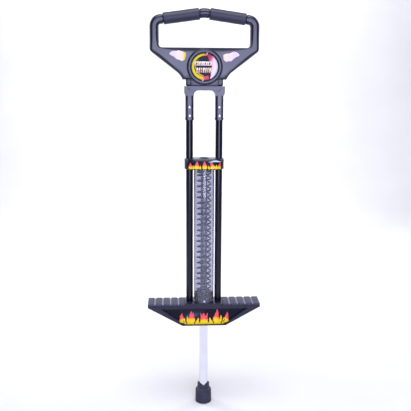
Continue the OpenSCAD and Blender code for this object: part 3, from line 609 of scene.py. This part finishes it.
wing = {"inner": 48.0, "outer": 94.0, "soft": 6.0, "rings": 8, "thick": 0.2}
wingRight = [(48.5, 31), (58, 34.5), (64, 34), (76, 39.5), (85, 38), (93.5, 29.5), (84, 26), (75.5, 20.5),
             (70, 14), (63, 15), (56.5, 12.5), (49, 18)]
wingLeft = [(49.5, 36.5), (56, 38), (68, 42), (76, 40), (84.5, 40.8), (95, 33), (88.5, 29), (81, 26),
            (74, 18.5), (67, 18), (61, 13.8), (53, 16.5), (49, 27)]


def wingSheet(outline, mirror):  # rings that grow from the middle of a softened outline to its edge
    edge = rounded(outline, wing["soft"], 5)
    share = np.linspace(0.001, 1, wing["rings"])[:, None, None]
    grid = edge.mean(0) + (edge - edge.mean(0)) * share
    y = np.full(grid.shape[:2], panelFront - 0.6 * wing["thick"])
    return np.stack([mirror * grid[..., 0], y, dialHeight + grid[..., 1]], -1), grid[..., 0]


for word, mirror, outline, warm in (("Right", 1, wingRight, 0.66), ("Left", -1, wingLeft, 1.0)):
    sheet, x = wingSheet(outline, mirror)
    u = np.clip((x - wing["inner"]) / (wing["outer"] - wing["inner"]), 0, 1)
    printPiece(f"wingDecal{word}", [gridPatch(sheet, wrapV=True)], paleInk,
               warm * (1 - u) ** 1.4 + 0.08 * np.sin(u * 17), [f"wing_decal_{word.lower()}"], wing["thick"])
print("dial and wing decals made")

# Screws: a domed head with a cross cut into it, on a plain shank
screw = {"dome": 0.35, "cut": 0.55, "slot": 0.13, "cross": 0.62, "steps": 48}
panHead = (3.3, 2.0, 2.0, 6.0)  # radius and height of the head, radius and length of the shank


def screwPatch(x, z, face, side, radius, height, shank, length):
    # the head's height over its face is a dome minus a cross; side -1 faces the front and 1 the back
    share = np.concatenate([[0.0], np.linspace(0.08, 1, 14), [1.0, shank / radius, shank / radius]])
    turn = around(screw["steps"])
    r = share[:, None] * radius
    dome = height * (1 - screw["dome"] * share ** 3)
    dome[-3:] = [0, 0, -length]
    across = np.minimum(np.abs(r * np.cos(turn)), np.abs(r * np.sin(turn)))
    inside = (across < screw["slot"] * radius) & (r < screw["cross"] * radius)
    lift = dome[:, None] - np.where(inside, screw["cut"] * height, 0)
    lift[-3:] = dome[-3:, None]
    points = np.stack([x + r * np.cos(turn), face + side * lift, z + r * np.sin(turn)], -1)
    return cappedPatch(points)


def screwPiece(name, node, places, face, side, size=panHead, mirrors=(1, -1)):
    patches = [screwPatch(x * s, z, face, side, *size) for x, z in places for s in mirrors]
    buildPiece(name, patches, zincPlate, "frame", [node], sharp=30)


tubeX = sum(nodeBox("frame_tube_right")[i][0] for i in (0, 1)) / 2
stripFront = nodeBox("socket_screws")[0][1] + panHead[1]
screwPiece("socketScrews", "socket_screws", [(tubeX, yokeLow[2] + 11), (tubeX, yokeLow[2] + 34)],
           stripFront, -1)
yokeScrewHigh = nodeBox("yoke_screws")[1]
screwPiece("yokeScrews", "yoke_screws", [(yokeScrewHigh[0] - 3.0, neckFoot - 4)], yokeScrewHigh[1] - 2.0, 1,
           (3.0, 2.0, 1.5, 8.0))

# Handle screws sit in shallow moulded cups on the back
bossPlaces = [(armX - 28, panelTop - 16), (69.8, panelTop - 41), (43.5, neckFoot + 29), (26, panelTop - 9)]
cupProfile = [[3.5, -0.5], [5.2, -0.5], [5.0, 0.7], [3.9, 0.7]]
cups = [turned(cupProfile, 0.2, (x * s, handle["thick"] / 2, z), "y", 40) for x, z in bossPlaces
        for s in (1, -1)]
screwPiece("shellScrews", "shell_screws", bossPlaces, handle["thick"] / 2 - 0.4, 1, (3.3, 1.0, 1.5, 6.0))
mouldedPiece("screwCups", cups, sharp=30)
print("screws made")

softCopy("handleYoke", "handle_yoke", 2.0, mouldedPolypropylene, "frame")

# Tubes, rod and other turned pieces, each a closed profile spun round its axis
for word, side in sides:
    low, high = nodeBox(f"frame_tube_{word.lower()}")
    tube = turned(tubeProfile(9.5, 8.0, low[2], high[2]), 0.4, (tubeX * side, 0, 0))
    buildPiece(f"frameTube{word}", [tube], powderCoat, "frame", [f"frame_tube_{word.lower()}"])

turnedPieces = {  # node: piece, outer radius, inner radius, corner, material, body, slot
    "guide_rod": ("guideRod", 9.5, 7.5, 0.4, drawnSteel, "frame", "rod_steel"),
    "upper_spring_seat": ("upperSpringSeat", 22.0, 9.7, 0.6, blackenedSteel, "frame", "dark_steel"),
    "rebound_bumper": ("reboundBumper", 20.0, 12.6, 1.5, mouldedRubber, "plunger", "foot_rubber"),
    "plunger_tube": ("plungerTube", 12.5, 11.0, 0.5, chromePlate, "plunger", "chrome_tube"),
}
for node, (name, outer, inner, corner, material, body, slot) in turnedPieces.items():
    low, high = nodeBox(node)
    patch = turned(tubeProfile(outer, inner, low[2], high[2]), corner)
    buildPiece(name, [patch], material, body, [node])

seatLow, seatHigh = nodeBox("lower_spring_seat")
pressFit = 12.52  # radius that clears the plunger tube
seatProfile = [[pressFit, seatLow[2]], [22, seatLow[2]], [22, seatLow[2] + 4], [15.1, seatLow[2] + 4],
               [15.1, seatHigh[2]], [pressFit, seatHigh[2]]]
buildPiece("lowerSpringSeat", [turned(seatProfile, 0.6)], blackenedSteel, "plunger",
           ["lower_spring_seat"])

boltLow, boltHigh = nodeBox("rod_bolt")
boltTop = boltHigh[2]
boltProfile = [[0, boltLow[2]], [5, boltLow[2]], [5, boltTop - 3], [11, boltTop - 3], [11, boltTop - 1.6],
               [9.6, boltTop - 0.3], [7, boltTop], [5.2, boltTop], [4.6, boltTop - 2], [0, boltTop - 2]]
buildPiece("rodBolt", [gridPatch(spin(boltProfile, steps=48), wrapV=True)], blackenedSteel, "frame",
           ["rod_bolt"], sharp=30)

for name, node, material, body, slot in (
        ("rodBush", "rod_bush", turnedNylon, "frame", "nylon"),
        ("plungerBush", "plunger_bush", turnedNylon, "frame", "nylon"),
        ("plungerPlug", "plunger_plug", turnedNylon, "plunger", "nylon"),
        ("footWasher", "foot_washer", zincPlate, "plunger", "zinc_screws"),
        ("footPin", "foot_pin", zincPlate, "plunger", "zinc_screws")):
    softCopy(name, node, 0.3, material, body)

guardLow, guardHigh = nodeBox("clear_guard")
guard = turned(tubeProfile(28.0, 26.0, guardLow[2], guardHigh[2]), 0.4, steps=128)
buildPiece("clearGuard", [guard], clearVinyl, "frame", ["clear_guard"])
print("turned pieces made")

# Spring: round wire on a helix, its end turns closed up
coil = {"turns": 25.0, "radius": 18.2, "wire": 2.3, "closed": 1.0, "perTurn": 40, "sides": 12,
        "travel": 120}  # travel is the plunger's stroke, which shortens the coil
springLow, springHigh = nodeBox("spring")


def springPath():
    # height follows the turns evenly, but the end turns rise only by the wire's thickness
    c = coil
    low, high = springLow[2] + c["wire"], springHigh[2] - c["wire"]
    turn = np.linspace(0, c["turns"], int(c["turns"] * c["perTurn"]) + 1)
    endRise = 2 * c["wire"] * c["closed"]
    z = np.interp(turn, [0, c["closed"], c["turns"] - c["closed"], c["turns"]],
                  [low, low + endRise, high - endRise, high])
    a = 2 * np.pi * turn
    out = np.stack([np.cos(a), np.sin(a), 0 * a], -1)
    return out * c["radius"] + np.stack([0 * a, 0 * a, z], -1), out


path, outwards = springPath()
wireTurn = around(coil["sides"])
wireRing = np.tile(coil["wire"] * np.stack([np.cos(wireTurn), np.sin(wireTurn)], -1), (len(path), 1, 1))
spring = buildPiece("coilSpring", [cappedPatch(carry(path, outwards, wireRing))], phosphatedWire, "frame",
                    ["spring"], sharp=50)
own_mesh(spring)
print("spring made")

# Bridge: a stadium block with soft edges, printed round its front
bridgeLow, bridgeHigh = nodeBox("mid_bridge")
bridge = {"edge": 2.2, "sides": 96, "margin": 3.0, "film": 0.1, "halo": 0.2, "flame": 0.26, "small": 0.31,
          "streak": 0.33, "screwDepth": 0.835}
endRadius = (bridgeHigh[1] - bridgeLow[1]) / 2
endX = bridgeHigh[0] - endRadius


def stadiumRow(inset, z):
    # two half circles joined by straight sides; inset shrinks the circles, and z is one height per row
    a = np.linspace(-np.pi / 2, np.pi / 2, bridge["sides"] // 2)
    a = np.concatenate([a, a + np.pi])
    centre = np.repeat([endX, -endX], bridge["sides"] // 2)
    r = (endRadius - np.array(inset, float))[:, None]
    x, y = centre + r * np.cos(a), r * np.sin(a)
    return np.stack([x, y, np.array(z, float)[:, None] + 0 * x], -1)


t = np.linspace(0, np.pi / 2, 6)
fall, climb = bridge["edge"] * (1 - np.sin(t)), bridge["edge"] * (1 - np.cos(t))
inset = np.concatenate([[endRadius - 0.01, 12], fall, climb, [12, endRadius - 0.01]])
bottom, top = bridgeLow[2], bridgeHigh[2]
height = np.concatenate([[bottom] * 2, bottom + climb, top - fall, [top] * 2])
boss = turned([[11.3, top - 1], [14.5, top - 1], [13.8, top + 1.2], [11.3, top + 1.2]], 0.5)
rimProfile = [[9.6, top - 1], [11.8, top - 1], [11.3, top + 0.9], [9.6, top + 0.9]]
socketRims = [turned(rimProfile, 0.3, (tubeX * s, 0, 0), steps=64) for s in (1, -1)]
mouldedPiece("midBridge", [cappedPatch(stadiumRow(inset, height)), boss, *socketRims], ["mid_bridge"])
screwPiece("bridgeScrews", "bridge_screws", [(tubeX, (bottom + top) / 2)],
           endRadius * bridge["screwDepth"], 1)


def bridgeFront(x, z, lift):  # a point on the bridge's front, lifted off it
    over = np.clip(np.abs(x) - endX, 0, None)
    r = endRadius + lift
    return np.stack([x, -np.sqrt(np.clip(r ** 2 - over ** 2, 0, None)), z + 0 * x], -1)


flame = {"fork": 0.2, "blunt": 0.75, "swing": 1.95, "yellow": 0.45}


def tongue(width, height, sway, lean):
    # half width = width / 2 x square root of the foot's share x (1 - v)^blunt x a ripple that forks the
    # edge; the middle line swings by sway and leans with the square of v, the share of the height
    v = np.linspace(0, 1, 22)[:, None]
    side = np.linspace(-1, 1, 7)
    foot = np.sqrt(np.clip((v + 0.06) / 0.3, 0, 1))
    half = width / 2 * foot * (1 - v) ** flame["blunt"] * (1 + flame["fork"] * np.sin(v * 11) ** 2)
    middle = sway * np.sin(v * flame["swing"] * np.pi) * v + lean * v ** 2
    return middle + half * side, v * height + 0 * side, v + 0 * side


def flamePiece(name, ink, layers, place, level, patches=(), tones=()):
    # layers of rows, lift, lowest tone, its rise, growth into a halo; rows of x, foot over level, width,
    # height, sway, lean; place turns x and z into points; patches and tones hold what lies under them
    patches, tones = list(patches), list(tones)
    for rows, lift, lowTone, toneRise, grow in layers:
        for x, foot, width, tall, sway, lean in rows:
            dx, dz, v = tongue(width + 2 * grow, tall + 1.6 * grow, sway, lean)
            patches.append(gridPatch(place(x + dx, level + foot + dz, lift)))
            tones.append(lowTone + toneRise * v.ravel())
    printPiece(name, patches, ink, np.concatenate(tones))


filmX = np.linspace(-48, 48, 60)[:, None] + np.zeros((1, 3))
filmZ = np.linspace(bottom + bridge["margin"] - 0.6, top - bridge["margin"], 3) + 0 * filmX
printPiece("bridgeFilm", [gridPatch(bridgeFront(filmX, filmZ, bridge["film"]))], inkedVinyl,
           nodes=["bridge_decal"], thick=0.12)
bridgeFlameFoot = bottom + 2.2
bridgeFlames = [(-38.4, 0, 12, 17, 1.0, 1.0), (-21.5, 0, 15, 22, -0.8, 0.6), (0, 0, 16, 21.5, 0.6, -0.4),
                (21.0, 0, 15, 20.5, 2.4, -2.0), (39.5, 0, 11, 17, -1.2, 1.0)]
bridgeSmall = [(-30.6, 0, 6, 11.5, 0.6, 0), (-12.0, 0, 7, 10.5, -0.6, -1), (12.0, 0, 7, 10, 0.8, -1),
               (31.0, 0, 9, 12.5, -0.6, 0.6)]
flamePiece("bridgeHalo", haloInk, [(bridgeFlames, bridge["halo"], 0, 1, 1.3)], bridgeFront, bridgeFlameFoot)
flamePiece("bridgeFlames", flameInk, [(bridgeFlames, bridge["flame"], 0, 1, 0),
                                      (bridgeSmall, bridge["small"], 0, flame["yellow"], 0)],
           bridgeFront, bridgeFlameFoot)
# A pale streak across the bridge's print: a painted reflection of a lamp in the laminate
streak = {"start": 9, "length": 36, "drop": 6.6}
streakShare = np.linspace(0, 1, 24)[:, None] + np.zeros((1, 5))
streakX = streak["start"] + streak["length"] * streakShare
streakRise = np.sin(np.pi * streakShare) ** 0.6
streakZ = top - streak["drop"] - 1.2 * np.sin(streakX / 6) + streakRise * np.linspace(-2.0, 2.2, 5)
printPiece("bridgePaintedReflection", [gridPatch(bridgeFront(streakX, streakZ, bridge["streak"]))], paintedReflectionStreak,
           streakShare)
print("bridge made")

# Footrest: moulded body with its print, ribbed treads, collar and screws
softCopy("footrestBody", "footrest_body", 1.2, mouldedPolypropylene, "frame")
restFoot = nodeBox("footrest_body")[0][2]
treadLow, treadHigh = nodeBox("tread_right")
rib = {"count": 5, "width": 17.6, "round": 2.6, "base": 3.4, "sink": 1.2}


def mirrored(patch, mirror):
    return patch[0] * [mirror, 1, 1], patch[1]


ribPitch = (treadHigh[0] - treadLow[0] - rib["width"]) / (rib["count"] - 1)
ribPlaces = treadLow[0] + np.arange(rib["count"]) * ribPitch
ribs = [roundedBlock([x, treadLow[1], treadLow[2] - rib["sink"]], [x + rib["width"], *treadHigh[1:]],
                     rib["round"], 6) for x in ribPlaces]
# A pale floor under the grooves between the ribs: its light lines are painted light
ribFloor = roundedBlock([treadLow[0] + 1, treadLow[1] + 4, treadLow[2]],
                        [treadHigh[0] - 1, treadHigh[1] - 0.6, treadLow[2] + rib["base"]], 0.5)
for word, mirror in sides:
    buildPiece(f"tread{word}", [mirrored(block, mirror) for block in ribs], treadPolymer, "frame",
               [f"tread_{word.lower()}"])
    buildPiece(f"treadFloorPaintedLight{word}", [mirrored(ribFloor, mirror)], treadFloorPaintedLight, "frame")

ring = {"outer": 25.95, "inner": 23.75, "notch": 16.95, "foot": 14.0}
ringLow, ringHigh = nodeBox("guard_collar")


def collarGrid():
    # a wall whose top edge dips at the front, as the fourth power of x
    a = around(128)
    x = ring["outer"] * np.cos(a)
    dip = ring["foot"] + (ringHigh[2] - ringLow[2] - ring["foot"]) * np.clip((x / ring["notch"]) ** 4, 0, 1)
    top = np.where(np.sin(a) < 0, dip, ringHigh[2] - ringLow[2])
    r = np.array([ring["inner"], ring["outer"], ring["outer"], ring["outer"] - 0.5, ring["inner"] + 0.5,
                  ring["inner"]])[:, None]
    share = np.array([0, 0, 1, 1, 1, 1])[:, None]
    down = np.array([0, 0, 0.5, 0, 0, 0.5])[:, None]
    z = ringLow[2] + share * top - down
    return np.stack([r * np.cos(a), r * np.sin(a), z], -1)


mouldedPiece("guardCollar", [closedPatch(collarGrid())], ["guard_collar"])
rivetLow, rivetHigh = nodeBox("guard_rivet")
screwPiece("guardRivet", "guard_rivet", [(0, (rivetLow[2] + rivetHigh[2]) / 2)], rivetLow[1] + 1.5, -1,
           (3.0, 1.5, 1.5, 3.0), mirrors=[1])
restScrewLow, restScrewHigh = nodeBox("footrest_screws")
screwPiece("footrestScrews", "footrest_screws", [(tubeX, (restScrewLow[2] + restScrewHigh[2]) / 2)],
           restScrewHigh[1] - panHead[1], 1)

recessFront = nodeBox("footrest_decal")[1][1]
restFilm = {"bottom": 56.0, "top": 122.0, "height": 47.5, "margin": 2.5, "film": 0.15, "sheen": 0.26,
            "halo": 0.3, "base": 0.36, "flame": 0.4, "small": 0.44, "tips": 0.48, "cuts": 0.54}


def restFront(x, z, lift):  # a point on the recess's flat, lifted off it
    return np.stack([x, recessFront - lift + 0 * x, z + 0 * x], -1)


u = np.linspace(-1, 1, 40)[:, None]
halfWidth = np.linspace(restFilm["bottom"], restFilm["top"], 12) - restFilm["margin"]
filmZ = restFoot + 2 + np.linspace(0, restFilm["height"], 12) + 0 * u
printPiece("footrestFilm", [gridPatch(restFront(u * halfWidth, filmZ, restFilm["film"]))], inkedVinyl,
           nodes=["footrest_decal"], thick=0.2)
# A soft blue-grey patch on the left half of the footrest film: a painted reflection
sheenX = np.linspace(-72, 4, 30)[:, None] + np.zeros((1, 12))
sheenZ = np.linspace(14, 46, 12) + 0 * sheenX
sheenTone = np.exp(-((sheenX + 32) / 22) ** 2 - ((sheenZ - 28 - 0.25 * (sheenX + 32)) / 9) ** 2)
printPiece("footrestPaintedReflection", [gridPatch(restFront(sheenX, restFoot + sheenZ, restFilm["sheen"]))], paintedSheenReflection,
           sheenTone, thick=0.04)
restFlameFoot = restFoot + 3.0
restFlames = [(-62.6, 4, 16, 29, 1.5, 1), (-35.0, 0, 23, 39, 2.0, 0), (0.0, 0, 26, 33, 0.8, -1),
              (34.0, 0, 21, 44, -2.2, 2), (62.5, 4, 17, 31, -2.2, 2)]
restSmall = [(-46.0, 1, 10, 25, 1.4, 0), (-18.5, 0, 11, 20, -1.8, 1), (18.3, 0, 11, 20, 1.8, -1),
             (47.0, 1, 10, 26, -1.4, 0), (-54.5, 2, 9, 17, 1.6, 1), (55.0, 2, 9, 17, -1.6, -1)]
restTips = [(-6.5, 13, 8, 20.5, 0.8, -3), (6.5, 13, 8, 20.5, -0.8, 3), (-31.5, 18, 7, 18, 1.0, 2),
            (38.5, 18, 7, 17, -1.0, -1), (66.0, 14, 6, 15, 1.2, 2), (-66.0, 14, 6, 12, 1.0, -1)]
flamePiece("footrestHalo", haloInk, [(restFlames + restSmall[:4], restFilm["halo"], 0, 1, 1.2)], restFront,
           restFlameFoot)
baseX = u * np.linspace(51, 66, 6)
baseZ = restFlameFoot - 0.9 + np.linspace(0, 9, 6) + 0 * baseX
flamePiece("footrestFlames", flameInk, [(restFlames, restFilm["flame"], 0, 1, 0),
                                        (restSmall, restFilm["small"], 0, flame["yellow"], 0),
                                        (restTips, restFilm["tips"], 0.55, 0.35, 0)],
           restFront, restFlameFoot, [gridPatch(restFront(baseX, baseZ, restFilm["base"]))],
           [np.full(baseX.size, 0.05)])


def cutSheets(rows, lift):  # S-shaped ribbons: x, foot over the flames' foot, height, width, sway
    patches = []
    for x, foot, tall, width, sway in rows:
        v = np.linspace(0, 1, 16)[:, None]
        across = np.linspace(-1, 1, 3) * width / 2 * np.sin(np.pi * np.clip(v, 0.02, 0.98)) ** 0.6
        curve = x + sway * np.sin(v * 2 * np.pi) + across
        patches.append(gridPatch(restFront(curve, restFlameFoot + foot + v * tall + 0 * across, lift)))
    return patches


restCuts = [(-50.0, -1, 15, 3.4, 1.8), (-25.0, 0, 15, 3.2, -2.0), (-13.5, 3, 9, 2.4, 0.6),
            (13.5, 3, 9, 2.4, -0.6), (25.6, 0, 15, 3.2, 2.0), (50.0, -1, 15, 3.4, -1.8),
            (-56.8, 4, 8, 2.2, 0.8), (56.5, 4, 12, 2.4, -1.2)]
cuts = cutSheets(restCuts, restFilm["cuts"])
printPiece("footrestCuts", cuts, haloInk, np.full(sum(len(corners) for corners, _ in cuts), 0.7), thick=0.04)
print("footrest made")

# Rubber foot: a revolved boot with a notched collar, a lip and grooves
foot = {"radius": 23.5, "collar": 17.0, "start": 42.5, "height": 57.5, "notch": 6.5, "sole": 14.0,
        "lip": 1.3, "lipPlace": 40.0, "lipHeight": 2.2}
footProfile = [[0, 0], [20.0, 0], [22.0, 0.4], [23.2, 1.3], [foot["radius"], 2.6], [foot["radius"], 6.0],
               [22.9, 6.6], [22.9, 7.4], [23.4, 8.0], [23.2, 18], [22.95, 28], [22.75, 34.5], [22.6, 36.4],
               [21.9, 38.4], [20.6, 39.9], [18.4, 40.8], [17.05, 42.2],
               *[[foot["collar"], z] for z in (44, 48, 51, 54)], [16.8, 56.9], [16.2, foot["height"]],
               [12.9, foot["height"]], *[[pressFit, z] for z in (56.9, 44, foot["sole"])], [0, foot["sole"]]]


def footGrid():
    # above its start the collar shrinks to a V-shaped top edge; a low lip stands out at the front and back
    grid = spin(footProfile, steps=128)
    x, y, z = grid[..., 0], grid[..., 1], grid[..., 2]
    reach = np.maximum(np.hypot(x, y), 1e-6)
    top = foot["height"] - foot["notch"] * (1 - np.clip(np.abs(x) / foot["collar"], 0, 1))
    share = np.clip((z - foot["start"]) / (foot["height"] - foot["start"]), 0, 1)
    z = np.minimum(z, foot["start"]) + share * (top - foot["start"])
    level = np.exp(-((z - foot["lipPlace"]) / foot["lipHeight"]) ** 2)
    lip = foot["lip"] * level * np.clip((np.abs(y) / reach - 0.86) / 0.14, 0, 1)
    grow = 1 + np.where(reach > 16, lip / reach, 0)
    return np.stack([x * grow, y * grow, z], -1)


buildPiece("rubberFoot", [gridPatch(footGrid(), wrapV=True)], mouldedRubber, "plunger",
           ["rubber_foot"], sharp=40)
print("foot made")

# Studio: pale sweep, soft lights, camera
studio = {"floorHalf": 4.0, "back": 2.2, "bend": 1.2, "wall": 4.0}


def sweepGrid():
    # flat floor, a quarter circle, and a wall behind
    s = studio
    a = np.linspace(0, np.pi / 2, 16)
    y = np.concatenate([[-6.0], s["back"] + s["bend"] * np.sin(a), [s["back"] + s["bend"]]])
    z = np.concatenate([[0.0], s["bend"] * (1 - np.cos(a)), [s["wall"]]])
    x = np.array([-s["floorHalf"], s["floorHalf"]])[:, None] + 0 * y
    return np.stack([x, y + 0 * x, z + 0 * x], -1)


# Painted studio sweep: matt, pale and faintly mottled, so that it stays plain
sweepPaint = grainedMaterial("sweepPaint", "#dcdce0", "#e2e2e6", 0.9, 0.03, 6, 0.02, 400)
corners, faces = gridPatch(sweepGrid())
mesh = bpy.data.meshes.new("studioSweep")
mesh.from_pydata(corners, [], faces)
mesh.polygons.foreach_set("use_smooth", np.ones(len(mesh.polygons), bool))
mesh.materials.append(sweepPaint)
placed("studioSweep", mesh)

world = bpy.data.worlds.new("studioAir")
scene.world = world
world.use_nodes = True
air = world.node_tree.nodes["Background"].inputs
air["Color"].default_value = hexColour("#f2f3f8")
air["Strength"].default_value = 0.2

lights = {  # name: place, aim, width, height, power, spread in degrees, colour
    "keyPanel": ((0.2, -3.0, 0.98), (0, 0, 0.9), 1.5, 1.1, 66, 180, "#d6d9ff"),
    "topPanel": ((0, -0.6, 2.7), (0, 0, 0.2), 2.0, 1.4, 34, 150, "#ffffff"),
    "floorPanel": ((0, 1.0, 2.3), (0, 1.0, 0), 2.6, 2.2, 46, 150, "#ffffff"),
    "wallPanel": ((0, 1.2, 3.2), (0, 3.2, 1.4), 3.0, 1.0, 80, 140, "#ffffff"),
    "rimPanelLeft": ((-1.8, 1.4, 1.7), (0, 0, 0.5), 0.8, 1.8, 24, 160, "#ffffff"),
    "rimPanelRight": ((1.8, 1.4, 1.7), (0, 0, 0.5), 0.8, 1.8, 19, 160, "#ffffff"),
}
for name, (place, aim, width, tall, power, spread, colour) in lights.items():
    lamp = bpy.data.lights.new(name, "AREA")
    lamp.shape, lamp.size, lamp.size_y, lamp.energy = "RECTANGLE", width, tall, power
    lamp.spread = np.radians(spread)
    lamp.color = hexColour(colour)[:3]
    away = np.array(place, float) - np.array(aim, float)
    away /= np.linalg.norm(away)
    right = np.cross([0, 0, 1], away)
    right /= np.linalg.norm(right)
    turn = np.stack([right, np.cross(away, right), away], 1)
    placed(name, lamp).matrix_world = Matrix.Translation(place) @ Matrix(turn.tolist()).to_4x4()

view = {"place": (-0.0913, -1.6427, 0.8867), "yaw": 0.0581, "pitch": 0.183, "roll": 0.0042, "lens": 52.95}
yaw, pitch, roll = view["yaw"], view["pitch"], view["roll"]
forward = np.array([np.sin(yaw) * np.cos(pitch), np.cos(yaw) * np.cos(pitch), -np.sin(pitch)])
level = np.cross(forward, [0, 0, 1])
level /= np.linalg.norm(level)
upright = np.cross(level, forward)
right = np.cos(roll) * level + np.sin(roll) * upright
upwards = np.cos(roll) * upright - np.sin(roll) * level
cameraData = bpy.data.cameras.new("camera")
cameraData.lens = view["lens"]
cameraData.sensor_width = 36
camera = placed("camera", cameraData)
turn = Matrix(np.stack([right, upwards, -forward], 1).tolist()).to_4x4()
camera.matrix_world = Matrix.Translation(view["place"]) @ turn
scene.camera = camera
print("studio ready")
